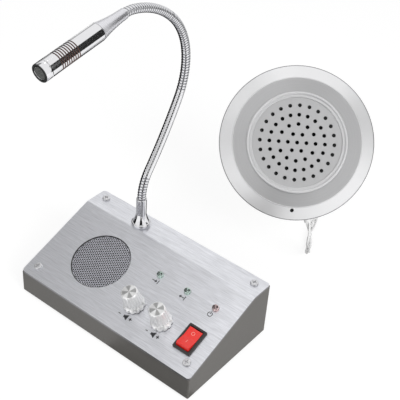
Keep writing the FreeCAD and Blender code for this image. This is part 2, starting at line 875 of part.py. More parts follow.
def hose_piece(low, high, ball_at_end, socket_at_start):
    """One stiff length of hose: a cupped start, a rounded end and a bore for the wires."""
    body = sweep(hose_radius, low, high)
    bore = sweep(hose_bore, low, high)
    if ball_at_end:
        point, tilt = hose_point(high)
        body = body.fuse(Part.makeSphere(hose_radius, point, neck_direction(tilt), 0, 90, 360))
        bore = bore.fuse(Part.makeCylinder(hose_bore, hose_radius * 2, point, neck_direction(tilt)))
    body = body.cut(bore)
    if socket_at_start:
        point, _ = hose_point(low)
        body = body.cut(Part.makeSphere(hose_radius + ball_clearance, point))
    return body


def hose_parts():
    cuts = [hose_foot] + list(hose_joint_places) + [sum(hose_lengths)]
    pieces = {}
    for k in range(len(cuts) - 1):
        last = k == len(cuts) - 2
        pieces["hose_%d" % (k + 1)] = [hose_piece(cuts[k], cuts[k + 1], not last, k > 0)]
    return pieces


def corner_point(centre, height, radius, turn):
    """A point on a rounded corner, turn degrees up from straight out."""
    return centre + radius * cos(radians(turn)), height + radius * sin(radians(turn))


def ferrule():
    """Bell-shaped chrome base: collar, flare and stem over the hose, with a threaded tail below."""
    mid_flare = (ferrule_collar_height + ferrule_flare_height) / 2
    edge = ferrule_flange_radius - ferrule_edge_round
    upper = ferrule_collar_height - ferrule_edge_round
    tail = -ferrule_thread_length
    body = lathe([
        (0, tail), (ferrule_thread_radius, tail), (ferrule_thread_radius, 0),
        (edge, 0, *corner_point(edge, ferrule_edge_round, ferrule_edge_round, -45)),
        (ferrule_flange_radius, ferrule_edge_round),
        (ferrule_flange_radius, upper, *corner_point(edge, upper, ferrule_edge_round, 45)),
        (edge, ferrule_collar_height, ferrule_flare_radius, mid_flare),
        (ferrule_stem_radius, ferrule_flare_height), (ferrule_stem_radius, ferrule_height),
        (0, ferrule_height),
    ])
    body = body.cut(rod(hose_radius + hose_fit_clearance, hose_foot, ferrule_height + OVER))
    body = body.cut(rod(hose_bore, tail - OVER, hose_foot + OVER))
    return on_ledge(body, neck_x, neck_y)


def ferrule_nut():
    high = under - ferrule_washer_thickness
    nut = hexagon(ferrule_nut_flats, high - ferrule_nut_height, high)
    return on_ledge(nut.cut(rod(ferrule_thread_radius + thread_clearance, -CUT, 0)), neck_x, neck_y)


def ferrule_washer():
    low = under - ferrule_washer_thickness
    washer = ring(ferrule_washer_radius, ferrule_thread_radius + hole_clearance, low, under)
    return on_ledge(washer, neck_x, neck_y)


# ---- microphone, turned about the line that leaves the hose's end ----
def on_mic(shape):
    _, point, tilt = hose_stations()[-1]
    return moved(shape, Placement(point, Rotation(X_AXIS, -degrees(tilt))))


def mic_tail():
    """Tapered tail, open for the hose at its thin end and spigoted into the barrel."""
    inner = mic_barrel_radius - mic_wall
    spigot = mic_tail_length + mic_spigot_length
    body = lathe([
        (0, -mic_tail_lip), (mic_tail_radius - mic_tail_edge, -mic_tail_lip),
        (mic_tail_radius, mic_tail_edge - mic_tail_lip),
        (mic_tail_radius, 0, mic_waist_radius, mic_waist_place),
        (mic_barrel_radius, mic_taper_end), (mic_barrel_radius, mic_tail_length),
        (inner, mic_tail_length), (inner, spigot), (0, spigot),
    ])
    body = body.cut(rod(hose_radius + hose_fit_clearance, -CUT, 0))
    return body.cut(rod(hose_bore, -OVER, spigot + OVER))


def mic_barrel():
    low = mic_tail_length + mic_seam
    high = mic_length - mic_rim_length
    body = ring(mic_barrel_radius, mic_barrel_radius - mic_wall, low, high)
    for k in range(mic_groove_count):
        middle = mic_length - mic_groove_start - k * mic_groove_pitch
        groove = ring(mic_barrel_radius + OVER, mic_barrel_radius - mic_groove_depth,
                      middle - mic_groove_width / 2, middle + mic_groove_width / 2)
        body = body.cut(groove)
    return body


def mic_rim():
    """The ring round the mouth, with a spigot into the barrel and a bevelled lip."""
    low = mic_length - mic_rim_length + mic_seam
    inner = mic_barrel_radius - mic_wall
    mouth = mic_barrel_radius - mic_rim_lip
    foot = low - mic_spigot_length
    edge = rim_chamfer
    return lathe([
        (mouth, foot), (inner, foot), (inner, low), (mic_barrel_radius, low),
        (mic_barrel_radius, mic_length - edge), (mic_barrel_radius - edge, mic_length),
        (mouth + edge, mic_length), (mouth, mic_length - edge),
    ])


def mic_mesh():
    radius = mic_barrel_radius - mic_rim_lip
    high = mic_length - mesh_recess
    low = high - mesh_thickness
    return lathe([(0, low), (radius, low), (radius, high - mesh_dome), (0, high)])


def mic_capsule():
    high = mic_length - mesh_recess - mesh_thickness
    return rod(capsule_radius, high - capsule_length, high)


# ---- rear sockets ----
def socket_body(flange_radius, barrel_radius, bore_radius, bore_depth, length):
    body = rod(flange_radius, 0, socket_flange)
    body = body.makeChamfer(rim_chamfer, edges_at(body, lambda p: p.z > socket_flange / 2))
    body = body.fuse(rod(barrel_radius, socket_flange - length, 0))
    return body.cut(rod(bore_radius, socket_flange - bore_depth, socket_flange + OVER))


def power_inlet():
    body = socket_body(
        inlet_flange_radius, inlet_barrel_radius, inlet_bore_radius, inlet_bore_depth, inlet_length
    )
    floor = socket_flange - inlet_bore_depth
    return on_rear(body.fuse(rod(inlet_pin_radius, floor, floor + inlet_pin_length)), inlet_x)


def lead_socket():
    body = socket_body(
        jack_flange_radius, jack_barrel_radius, jack_bore_radius, jack_bore_depth, jack_length
    )
    return on_rear(body, jack_x)


def socket_nuts():
    high = -case_wall
    low = high - socket_nut_height
    first = hexagon(inlet_nut_flats, low, high).cut(rod(inlet_barrel_radius + thread_clearance, -CUT, 0))
    second = hexagon(jack_nut_flats, low, high).cut(rod(jack_barrel_radius + thread_clearance, -CUT, 0))
    return [on_rear(first, inlet_x), on_rear(second, jack_x)]


# ---- window unit, in its own frame: z out of its face, z = 0 at the rim ----
def window_bezel():
    """Front ring: outer bevel, flat band, and a rebate for the bead and the grille."""
    face = window_bevel_rise
    inside = face - window_face_thickness
    seat = bead_outer_radius
    body = lathe([
        (seat, inside), (bevel_inner_radius, inside), (back_radius, window_lip - window_rim_edge),
        (back_radius, -window_rim_edge), (window_radius - rim_chamfer, -window_rim_edge),
        (window_radius, rim_chamfer - window_rim_edge), (window_radius, 0),
        (window_bevel_radius, face), (seat, face),
    ])
    hole = rod(window_mic_hole_radius, -CUT, CUT, 0, -window_mic_offset)
    body = body.cut(hole)
    for place in window_post_places():
        post = rod(window_post_radius, window_post_low(), inside + SAME, *place)
        body = body.fuse(post)
    for place in window_post_places():
        bore = screw_shank_radius + thread_clearance
        body = body.cut(rod(bore, window_post_low() - OVER, inside - screw_end_gap, *place))
    return body


def window_post_places():
    turns = [radians(90 + 360.0 * k / window_post_count) for k in range(window_post_count)]
    return [(window_post_offset * cos(t), window_post_offset * sin(t)) for t in turns]


def window_post_low():
    return -back_depth + back_wall


def window_bead():
    """The raised, rounded ring between the band and the grille, with a fine lip round the grille."""
    low = window_bevel_rise - window_face_thickness
    top = window_bevel_rise + bead_rise
    shoulder = window_bevel_rise + bead_shoulder
    step = window_bevel_rise + bead_step
    middle = bead_outer_radius - bead_width / 2
    lip = bead_inner_radius + bead_lip_width
    lip_middle = bead_inner_radius + bead_lip_width / 2
    return lathe([
        (bead_inner_radius, low), (bead_outer_radius, low), (bead_outer_radius, shoulder, middle, top),
        (bead_outer_radius - bead_width, step), (lip, step, lip_middle, window_bevel_rise + bead_lip_rise),
        (bead_inner_radius, step),
    ])


def window_grille():
    high = window_bevel_rise - window_grille_drop
    plate = rod(bead_inner_radius, high - window_grille_thickness, high)
    holes = [rod(window_hole_radius, -CUT, CUT)]
    for ring_radius, count in zip(window_ring_radii, window_ring_counts):
        hole = rod(window_hole_radius, -CUT, CUT, ring_radius)
        holes += around(hole, count)
    return plate.cut(holes)


def window_back():
    """The rear cup that closes the unit, with screw holes and the lead's hole."""
    cup = rod(back_radius, -back_depth, -window_rim_edge)
    cup = cup.makeFillet(back_edge_round, edges_at(cup, lambda p: p.z < -back_depth / 2))
    room = rod(back_radius - back_wall, back_wall - back_depth, OVER)
    room = room.makeFillet(
        back_edge_round - back_wall / 2, edges_at(room, lambda p: p.z < -back_depth / 2)
    )
    cup = cup.cut(room)
    for place in window_post_places():
        cup = cup.cut(rod(screw_shank_radius + screw_hole_clearance, -CUT, 0, *place))
    return cup.cut(moved(rod(grommet_neck_radius, -2 * back_wall, 2 * back_wall), exit_frame()))


def exit_frame():
    """The lead's way out of the cup's side: z outwards, just off the lowest point."""
    turn = radians(-90 + lead_exit_turn)
    out = Vector(cos(turn), sin(turn), 0)
    place = out * (back_radius - back_wall)
    place.z = -lead_exit_drop
    return Placement(place, Rotation(UP, out))


def lead_grommet():
    """Tapered strain relief, waisted where it grips the cup's wall."""
    inner = -grommet_inner_gap
    outer = back_wall + grommet_outer_gap
    high = back_wall + grommet_length
    body = lathe([
        (0, inner - grommet_flange), (grommet_radius, inner - grommet_flange), (grommet_radius, inner),
        (grommet_neck_radius, inner), (grommet_neck_radius, outer), (grommet_radius, outer),
        (grommet_radius, outer + grommet_flange), (lead_radius + grommet_tip_wall, high), (0, high),
    ])
    return on_window(moved(body, exit_frame()))


def lead_exit():
    """The point where the lead leaves the grommet, and its direction."""
    tip = exit_frame().multVec(Vector(0, 0, back_wall + grommet_length))
    root = exit_frame().multVec(Vector(0, 0, 0))
    lean = Rotation(X_AXIS, 90 - window_elevation)
    place = Placement(window_place, Rotation(UP, window_azimuth).multiply(lean))
    end = place.multVec(tip)
    return end, (end - place.multVec(root)).normalize()


def window_screws():
    screws = []
    for x, y in window_post_places():
        screw = round_screw(window_screw_head_radius, window_screw_head_height, screw_shank_radius,
                            window_screw_length, screw_head_round / 2)
        screws.append(moved(screw, Placement(Vector(x, y, -back_depth), Rotation(X_AXIS, 180))))
    return screws


def window_pad():
    """Self-adhesive foam ring, cleared round the screw heads."""
    pad = ring(pad_outer_radius, pad_inner_radius, -back_depth - pad_thickness, -back_depth)
    for x, y in window_post_places():
        pad = pad.cut(rod(window_screw_head_radius + pad_screw_gap, -CUT, 0, x, y))
    return pad


def window_parts():
    top = window_bevel_rise - window_grille_drop - window_grille_thickness
    low = top - window_basket_depth
    frame = basket(window_basket_radius, window_throat_radius, top, window_basket_depth)
    cone = cone_shell(window_cone_radius, cone_throat_radius, top, window_basket_depth)
    gasket_high = mic_seat_height()
    capsule_low = gasket_high - window_capsule_length
    capsule = rod(window_capsule_radius, capsule_low, gasket_high, 0, -window_mic_offset)
    sleeve = ring(window_gasket_radius, window_capsule_radius, gasket_high - window_gasket_length,
                  gasket_high, 0, -window_mic_offset)
    pieces = {
        "window_bezel": [window_bezel()],
        "window_bead": [window_bead()],
        "window_grille": [window_grille()],
        "window_back": [window_back()],
        "window_pad": [window_pad()],
        "window_screws": window_screws(),
        "window_speaker_basket": [frame],
        "window_speaker_cone": [cone],
        "window_speaker_magnet": [rod(window_magnet_radius, low - window_magnet_thickness, low)],
        "window_mic_capsule": [capsule],
        "window_mic_gasket": [sleeve],
    }
    for name, shapes in pieces.items():
        pieces[name] = [on_window(s) for s in shapes]
    pieces["lead_grommet"] = [lead_grommet()]
    return pieces


def mic_seat_height():
    """Height of the bevel's underside over the window microphone."""
    inside = window_bevel_rise - window_face_thickness
    reach = window_mic_offset + window_gasket_radius - bevel_inner_radius
    fall = reach / (back_radius - bevel_inner_radius)
    return inside - fall * (inside + window_rim_edge - window_lip)


# ---- lead, coil and plug ----
def lead_points():
    end, out = lead_exit()
    return [end, end + out * lead_first_run] + [Vector(*p) for p in lead_route]


def lead_path(points):
    """Straight runs joined by tangent arcs as large as the runs allow."""
    edges = []
    radii = []
    at = points[0]
    for before, corner, after in zip(points, points[1:], points[2:]):
        way_in = (corner - before).normalize()
        way_out = (after - corner).normalize()
        half = acos(max(-1.0, min(1.0, way_in.dot(way_out)))) / 2
        trim = 0.45 * min((corner - before).Length, (after - corner).Length)
        radius = trim / tan(half)
        radii.append(radius)
        start = corner - way_in * trim
        stop = corner + way_out * trim
        centre = corner + (way_out - way_in).normalize() * (radius / cos(half))
        middle = centre + (corner - centre).normalize() * radius
        edges.append(Part.makeLine(at, start))
        edges.append(Part.Arc(start, middle, stop).toShape())
        at = stop
    edges.append(Part.makeLine(at, points[-1]))
    return Part.Wire(edges), radii


def lead_tube():
    points = lead_points()
    path, radii = lead_path(points)
    section = Part.Wire(Part.makeCircle(lead_radius, points[0], (points[1] - points[0]).normalize()))
    tube = path.makePipeShell([section], True, True)
    ideal = pi * lead_radius ** 2 * path.Length
    print("lead points", [tuple(round(c, 2) for c in p) for p in points])
    print("lead tube length %.1f, radii %s" % (path.Length, [round(r, 1) for r in radii]))
    print("lead tube volume %.1f, section times length %.1f" % (tube.Volume, ideal))
    return tube


def lead_coil():
    half = coil_columns * lead_radius
    height = coil_rows * 2 * lead_radius
    body = ring(coil_turn_radius + half, coil_turn_radius - half, 0, height)
    rims = [e for e in body.Edges if len(e.Vertexes) == 1]
    return moved(body.makeFillet(coil_edge_round, rims), Placement(coil_place, Rotation()))


def on_tail(shape):
    """Carry a shape from the lead's last run (z along it) to the desk behind the coil."""
    height = max(lead_radius, plug_shell_radius)
    out = coil_place + Vector(0, coil_turn_radius + coil_columns * lead_radius - lead_radius, height)
    return moved(shape, Placement(out, Rotation(Vector(0, 1, 0), -90)))


def plug_parts():
    boot_end = tail_length + plug_boot_length
    shell_end = boot_end + plug_shell_length
    tip_end = shell_end + plug_tip_length
    edge = rim_chamfer
    boot = lathe([
        (0, tail_length), (lead_radius + plug_boot_wall, tail_length),
        (plug_boot_radius, boot_end), (0, boot_end),
    ])
    shell = lathe([
        (0, boot_end), (plug_shell_radius - edge, boot_end), (plug_shell_radius, boot_end + edge),
        (plug_shell_radius, shell_end - edge), (plug_shell_radius - edge, shell_end), (0, shell_end),
    ])
    waist = tip_end - 2 * plug_tip_nose
    tip = lathe([
        (0, shell_end), (plug_tip_radius, shell_end), (plug_tip_radius, waist - plug_tip_nose / 2),
        (plug_waist_radius, waist), (plug_tip_radius, tip_end - plug_tip_nose),
        (plug_nose_radius, tip_end), (0, tip_end),
    ])
    return {
        "lead_tail": [on_tail(rod(lead_radius, 0, tail_length))],
        "plug_boot": [on_tail(boot)],
        "plug_shell": [on_tail(shell)],
        "plug_tip": [on_tail(tip)],
    }


# ---- the whole intercom ----
def counter_unit():
    pieces = {
        "base_case": [base_case()],
        "top_panel": [top_panel()],
        "panel_screws": panel_screws(),
        "rubber_feet": rubber_feet(),
        "power_inlet": [power_inlet()],
        "lead_socket": [lead_socket()],
        "socket_nuts": socket_nuts(),
        "switch_housing": [on_slope(switch_housing(), switch_x, control_row)],
        "switch_rocker": [on_slope(switch_rocker(), switch_x, control_row)],
        "switch_terminals": [on_slope(s, switch_x, control_row) for s in switch_terminals()],
        "activity_lamps": [on_slope(lamp(), x, lamp_row) for x in lamp_columns[:2]],
        "power_lamp": [on_slope(lamp(), lamp_columns[2], lamp_row)],
        "main_board": [on_slope(main_board(), 0, 0)],
        "board_spacers": [on_slope(s, 0, 0) for s in board_spacers()],
        "board_screws": [on_slope(s, 0, 0) for s in board_screws()],
        "board_components": [on_slope(s, 0, 0) for s in board_components()],
        "pot_housings": [on_slope(pot_housing(), x, control_row) for x in knob_columns],
        "pot_nuts": [on_slope(s, x, control_row) for x in knob_columns for s in (pot_nut(), pot_washer())],
    }
    for side, x in zip(("left", "right"), knob_columns):
        pieces["pot_shaft_" + side] = [on_slope(pot_shaft(), x, control_row)]
        pieces["knob_" + side] = [on_slope(knob(), x, control_row)]
        pieces["knob_cap_" + side] = [on_slope(knob_cap(), x, control_row)]
    pieces.update(speaker_parts())
    return pieces


def gooseneck():
    pieces = {"ferrule": [ferrule()], "ferrule_nut": [ferrule_nut(), ferrule_washer()]}
    pieces.update(hose_parts())
    for name, make in (("mic_tail", mic_tail), ("mic_barrel", mic_barrel), ("mic_rim", mic_rim),
                       ("mic_mesh", mic_mesh), ("mic_capsule", mic_capsule)):
        pieces[name] = [on_mic(make())]
    return pieces


def lead():
    pieces = {"lead_tube": [lead_tube()], "lead_coil": [lead_coil()]}
    pieces.update(plug_parts())
    return pieces


def main():
    os.makedirs("parts", exist_ok=True)
    pieces = {}
    for group in (counter_unit, gooseneck, window_parts, lead):
        pieces.update(group())
    for name, shapes in pieces.items():
        shape = shapes[0] if len(shapes) == 1 else Part.makeCompound(shapes)
        shape.exportStep("parts/%s.step" % name)
    print("%d pieces written" % len(pieces))


main()
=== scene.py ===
"""Teller window intercom: the looks of the counter unit, its gooseneck microphone and the window unit.

Lengths named in millimetres are turned to metres by MM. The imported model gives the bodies, the joints
and the places of the pieces; this script gives each surface its finish, and models the pieces whose
looks need more than a plain solid: the ribbed hose, the plated turnings, the meshes and the lead.
"""

import json
from math import atan2, ceil, cos, hypot, pi, radians, sin, sqrt, tan

import bpy
from mathutils import Matrix, Vector


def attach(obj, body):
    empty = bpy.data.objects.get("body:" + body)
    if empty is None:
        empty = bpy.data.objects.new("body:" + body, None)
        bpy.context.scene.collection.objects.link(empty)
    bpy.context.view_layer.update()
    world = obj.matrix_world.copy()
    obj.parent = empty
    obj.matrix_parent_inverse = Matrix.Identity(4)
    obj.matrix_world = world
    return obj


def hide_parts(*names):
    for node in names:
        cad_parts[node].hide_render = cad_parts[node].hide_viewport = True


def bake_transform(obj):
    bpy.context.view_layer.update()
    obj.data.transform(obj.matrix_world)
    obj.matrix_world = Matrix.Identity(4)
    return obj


bl_info = {
    "name": "Teller window intercom",
    "version": (1, 0, 0),
    "blender": (4, 5, 0),
    "location": "View3D > Sidebar > Intercom",
    "description": "Counter intercom with a gooseneck microphone and a round window unit",
    "category": "Object",
}

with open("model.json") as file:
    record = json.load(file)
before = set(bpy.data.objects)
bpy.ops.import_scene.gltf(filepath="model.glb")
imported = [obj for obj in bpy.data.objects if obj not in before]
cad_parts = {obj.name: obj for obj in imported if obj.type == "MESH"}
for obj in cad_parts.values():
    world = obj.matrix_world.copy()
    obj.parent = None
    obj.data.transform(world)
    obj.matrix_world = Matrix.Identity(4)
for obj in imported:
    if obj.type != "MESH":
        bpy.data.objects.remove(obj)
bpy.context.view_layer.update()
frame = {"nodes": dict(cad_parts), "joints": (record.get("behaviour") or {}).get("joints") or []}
MM = 0.001
JOINTS = {joint["name"]: joint for joint in frame["joints"]}

# ---- counter unit, in millimetres: columns run along the panel and rows up its slope ----
KNOB_COLUMN = 11.7
COLUMN_PITCH = 25.4
CONTROL_ROW = 23.9
LAMP_ROW = 53.0
LABEL_ROW = 47.3
MARK_ROW = 12.95
MARK_SHIFT = 0.6  # how far the printed marks stand to the right of their columns
# how far each kind of mark stands from there
LESS_SHIFT = -5.4
HORN_SHIFT = 0.3
MORE_SHIFT = 4.6
IN_SHIFT = -1.0
OUT_SHIFT = -1.7
POWER_SHIFT = -1.2
RING_RADIUS = 2.0
RING_INNER_SHARE = 0.74
RING_GAP_REACH = 0.8  # from the ring's middle to each side of its gap
INK_THICKNESS = 0.05
INK_LIFT = 0.005
PANEL_THICKNESS = 1.5
SHEARED_FACING = 0.3  # the upright part of a normal, under which a face is the sheet's sheared edge
SPEAKER_PLACE = (-34.2, 38.3)
SPEAKER_HOLE_RADIUS = 22.8
GRILLE_RISE = 0.7
MESH_THICKNESS = 0.35
MESH_EDGE_GAP = 0.6
CELL_CORNERS = 12  # of a mesh cell's outline, and of the hole in it
FELT_WIDTH = 1.0
FELT_THICKNESS = 0.3
FELT_GAP = 0.02  # between the felt and the mesh
CELL_REACH = 0.2  # how far past a mesh's radius a cell's middle may lie, as a share of the pitch
CELL_RIM = 0.48  # within this share of the pitch a corner belongs to a cell's hole
CELL_EDGE = 0.1  # the least metal left outside a hole, as a share of the pitch
ROCKER_DIP = 1.95  # the lowest line of the rocker's face, above the panel
ROCKER_TILT = 16.0  # degrees, of the rocker's raised half
LAMP_RADIUS = 2.5
LAMP_SHOULDER = 0.9  # where a lamp's dome begins, above the panel
LAMP_LEG_REACH = 1.27  # from a lamp's middle to each leg

# ---- gooseneck and microphone, in millimetres and degrees ----
NECK_FOOT = Vector((-31.4, 32.2, 47.0))
# spans of the hose's middle line from the ledge up: length, and how far it bends
HOSE_SPANS = (
    (25.0, 0.0), (23.0, 36.0), (56.5, -8.5), (34.5, -33.0),
    (39.5, -41.5), (44.0, -34.0), (9.5, -19.5),
)
HOSE_CUTS = (16.4, 61.0, 102.0, 142.0, 182.0, 231.0)
HOSE_HINGES = (40.0, 82.0, 122.0, 162.0, 202.0)
HOSE_BEND_REACH = 11.0  # how far each side of a hinge the hose bends
HOSE_RADIUS = 3.25
HOSE_CLOSED = (36.0, 118.0)  # the straight stretch, where the windings lie close
HOSE_CLOSED_SHARE = 0.25  # what is left there of the depth between them
HOSE_CLOSED_EASE = 12.0  # the length over which they open
HOSE_SHADE_FROM = 0.6  # how far they stand open where painted shade begins to show in their grooves
HOSE_STEPS = 28  # to a turn
HOSE_SPARE_TURNS = 2  # wound past each cut
RIB_STEPS = 10
MIC_LENGTH = 73.0
MIC_TAIL_LENGTH = 23.0
MIC_RADIUS = 6.25
MIC_WALL = 0.9
MIC_RIM_LENGTH = 5.6
MIC_SEAM = 0.12
MIC_GROOVES = 9
MIC_GROOVE_PITCH = 1.8
MIC_GROOVE_START = 13.6
MIC_GROOVE_SPAN = (40.0, 61.0)
MIC_GROOVE_TINT = (0.1, 0.6)  # depths under the barrel's skin between which it is tinted
MIC_LACQUER_LENGTH = 0.5  # from the mouth's edge back
MIC_LACQUER_RADIUS = 4.9
MIC_MESH_RADIUS = 4.5
MIC_MESH_ALONG = 72.4
MIC_MESH_THICKNESS = 0.3
MIC_MESH_HOLE_SHARE = 0.62  # of the pitch

# ---- window unit, in its own frame: z out of its face, z = 0 at the rim ----
WINDOW_PLACE = Vector((27.7, 144.7, 94.0))
WINDOW_AZIMUTH = 36.3
WINDOW_ELEVATION = 37.3
WINDOW_BEVEL_RADIUS = 49.9
BEAD_OUTER = 39.2

# ---- lead, in millimetres: its route's points, then the coil and the tail ----
LEAD_DIAMETER = 4.4
LEAD_ROUTE = (
    (57.02, 129.43, 40.2),
    (63.04, 125.66, 31.54),
    (62.8, 125.6, 19.9),
    (59.8, 131.8, 8.6),
    (53.6, 143.0, 2.2),
    (44.8, 159.6, 2.2),
    (37.6, 175.4, 2.2),
    (34.3, 192.4, 2.2),
    (34.4, 208.4, 2.2),
)
LEAD_TAIL = ((4.0, 241.4, 5.2), (-6.0, 241.4, 4.4), (-17.0, 241.4, 4.4))
COIL_CENTRE = (5.0, 212.0)
COIL_TURN_RADIUS = 25.0
# the column and the row in which each turn lies
COIL_SLOTS = (
    (2, 0), (1, 0), (0, 0), (0, 1), (0, 2), (0, 3),
    (1, 3), (2, 3), (2, 2), (1, 2), (1, 1), (2, 1),
)
COIL_POINTS = 16  # to a turn
COIL_CROSSING = 0.25  # of a turn, in which the lead crosses to its next slot
STRAND_RADIUS = 0.9
TWIST_PITCH = 42.0
TWIST_RADIUS = 1.3
TIE_WIDTH = 5.0
TIE_WALL = 0.6
TIE_ROUND = 0.22

# ---- studio, in metres and degrees ----
CAMERA_PLACE = Vector((328.86, -384.75, 493.08)) * MM
CAMERA_RIGHT = Vector((0.77629, 0.62754, 0.05975))
CAMERA_UP = Vector((-0.41892, 0.44273, 0.79278))
CAMERA_NEAR = 0.01
SENSOR_WIDTH = 36.0  # in millimetres
CARD_AIM = Vector((0, 0, 0.04))
LAMP_AIM = Vector((0, 0.05, 0.06))
SWEEP_SIZE = 8.0
SWEEP_DROP = 0.0002  # how far the sweep lies under the feet
SWEEP_GREY = (0.3, 0.3, 0.3, 1)
SWEEP_GLOW = 0.78  # with the lamps' light on the grey it shows white
# cards that stand on the floor: way from the neck, spread, near edge, far edge, foot, top, tone
STANDING_CARDS = (
    (-168.0, 82.0, 0.04, 1.2, 0.0002, 0.45, 0.01),
    (-48.0, 34.0, 0.04, 1.2, 0.0002, 0.42, 0.01),
    (118.0, 100.0, 0.04, 0.7, 0.0002, 0.0004, 0.02),
    (36.0, 26.0, 0.7, 1.2, 0.0002, 1.45, 0.03),
    (155.0, 66.0, 1.3, 1.32, 0.42, 0.95, 0.5),
    (-46.0, 56.0, 1.5, 1.52, 0.44, 2.3, 0.5),
    (-112.0, 44.0, 1.3, 1.32, 0.5, 1.4, 0.6),
)
# cards hung overhead: place, size, tone
HUNG_CARDS = (
    ((-1.4, -0.15, 1.5), (0.95, 1.3), 0.27),
    ((-0.38, 0.31, 1.45), (0.08, 0.08), 12.0),
)
# soft boxes: name, place, size, power in watts
LAMPS = (
    ("key", (1.06, -0.2, 0.65), (0.8, 0.8), 10.0),
    ("front", (0.12, -1.1, 0.58), (0.7, 0.7), 5.0),
    ("left", (-0.9, -0.3, 0.9), (0.6, 0.6), 0.8),
)
WHITE = (1, 1, 1, 1)
BLACK = (0, 0, 0, 1)


# ---- settings a user would change ----
def linear(code):
    """An sRGB hex colour as linear red, green, blue and alpha."""
    parts = [int(code[k : k + 2], 16) / 255 for k in (1, 3, 5)]
    return tuple(c / 12.92 if c <= 0.04045 else ((c + 0.055) / 1.055) ** 2.4 for c in parts) + (1.0,)


def colour(name, description, code):
    """A colour setting, from its sRGB hex value."""
    return bpy.props.FloatVectorProperty(
        name=name, description=description, default=linear(code), size=4, subtype="COLOR", min=0.0, max=1.0
    )


def measure(name, description, millimetres):
    """A length setting, from its millimetres."""
    return bpy.props.FloatProperty(
        name=name, description=description, default=millimetres * MM, unit="LENGTH"
    )


class IntercomColours(bpy.types.PropertyGroup):
    case: colour("Case", "Paint of the base case", "#62605D")
    panel: colour("Panel", "Brushed sheet of the top panel", "#ECEDF2")
    chrome: colour("Plating", "Bright plating of the gooseneck and microphone", "#E6E6E8")
    groove: colour("Grooves", "Coppery tint at the bottom of the microphone's grooves", "#75605A")
    knob: colour("Knobs", "Turned aluminium of the knobs", "#FAFAFA")
    rocker: colour("Rocker", "Moulded rocker of the power switch", "#E22A22")
    bezel: colour("Switch frame", "Moulded frame of the power switch", "#2B2827")
    lamp_on: colour("Activity lamps", "Tinted domes of the two activity lamps", "#D4ECE2")
    lamp_power: colour("Power lamp", "Tinted dome of the power lamp", "#F2D0D0")
    ink: colour("Print", "Printed marks on the panel", "#26262A")
    bevel: colour("Window bevel", "Outer ring of the window unit", "#E6E6E7")
    band: colour("Window band", "Brushed ring round the window unit's grille", "#DEDEDF")
    grille: colour("Window grille", "Perforated disc of the window unit", "#C6C6C7")
    lead: colour("Lead", "Plastic of the twisted lead", "#EAEAEA")


class IntercomSizes(bpy.types.PropertyGroup):
    rib_pitch: measure("Rib pitch", "From one winding of the hose to the next", 2.15)
    rib_depth: measure("Rib depth", "Depth between the hose's windings", 0.3)
    mesh_pitch: measure("Mesh pitch", "From hole to hole of the speaker mesh", 1.732)
    mesh_hole: measure("Mesh hole", "Hole diameter of the speaker mesh", 1.42)
    mic_mesh_pitch: measure("Microphone mesh pitch", "From hole to hole in the microphone's mouth", 1.0)


class StudioSettings(bpy.types.PropertyGroup):
    lens: bpy.props.FloatProperty(
        name="Lens", description="Focal length on a 36 mm wide sensor", default=84.21, unit="CAMERA"
    )
    background: bpy.props.FloatProperty(
        name="Background", description="Brightness of the white surroundings", default=1.0, min=0.0, max=1.0
    )
    fill: bpy.props.FloatProperty(
        name="Fill", description="Level of the light from all round", default=0.5, min=0.0
    )


# ---- modelling helpers ----
def select_only(*chosen):
    bpy.ops.object.select_all(action="DESELECT")
    for piece in chosen:
        piece.select_set(True)
    bpy.context.view_layer.objects.active = chosen[0]


def named(name):
    """Name the object that an operator has just made."""
    piece = bpy.context.object
    piece.name = name
    piece.data.name = name
    return piece


def edit(piece, mode="VERT", choice=None):
    """Enter edit mode on a piece, with all or nothing selected if a choice is given."""
    select_only(piece)
    bpy.ops.object.mode_set(mode="EDIT")
    bpy.ops.mesh.select_mode(type=mode)
    if choice:
        bpy.ops.mesh.select_all(action=choice)


def leave():
    bpy.ops.object.mode_set(mode="OBJECT")


def apply_modifier(piece, kind, **settings):
    """Give a piece a modifier and make its result the piece's mesh."""
    select_only(piece)
    made = piece.modifiers.new(kind.title(), kind)
    for key, value in settings.items():
        setattr(made, key, value)
    bpy.ops.object.modifier_apply(modifier=made.name)


def tidy_mesh(piece, distance=0.002 * MM):
    """Merge doubles and turn all faces outwards."""
    edit(piece, choice="SELECT")
    bpy.ops.mesh.remove_doubles(threshold=distance)
    bpy.ops.mesh.normals_make_consistent(inside=False)
    leave()


def block(name, *size):
    """A box about the origin, so many millimetres along each axis."""
    bpy.ops.mesh.primitive_cube_add(size=MM)
    piece = named(name)
    piece.scale = size
    bpy.ops.object.transform_apply(scale=True)
    return piece


def drawn(name, outline):
    """A line through points of (radius, height), in millimetres, left open in edit mode."""
    bpy.ops.object.select_all(action="DESELECT")
    bpy.ops.mesh.primitive_plane_add(size=MM)
    piece = named(name)
    bpy.ops.object.mode_set(mode="EDIT")
    bpy.ops.mesh.merge(type="CENTER")
    spot = Vector((0, 0, 0))
    for k, (radius, height) in enumerate(outline):
        step = Vector((radius, 0, height)) * MM - spot
        if k == 0:
            bpy.ops.transform.translate(value=step)
        else:
            bpy.ops.mesh.extrude_vertices_move(TRANSFORM_OT_translate={"value": step})
        spot += step
    return piece


def turned(name, outline, steps=96):
    """Spin an outline of (radius, height), in millimetres, about the z axis."""
    ends_on_axis = outline[0][0] == outline[-1][0] == 0
    piece = drawn(name, outline if ends_on_axis else [*outline, outline[0]])
    bpy.ops.mesh.select_all(action="SELECT")
    bpy.ops.mesh.spin(steps=steps, angle=2 * pi, center=(0, 0, 0), axis=(0, 0, 1))
    leave()
    tidy_mesh(piece)
    return piece


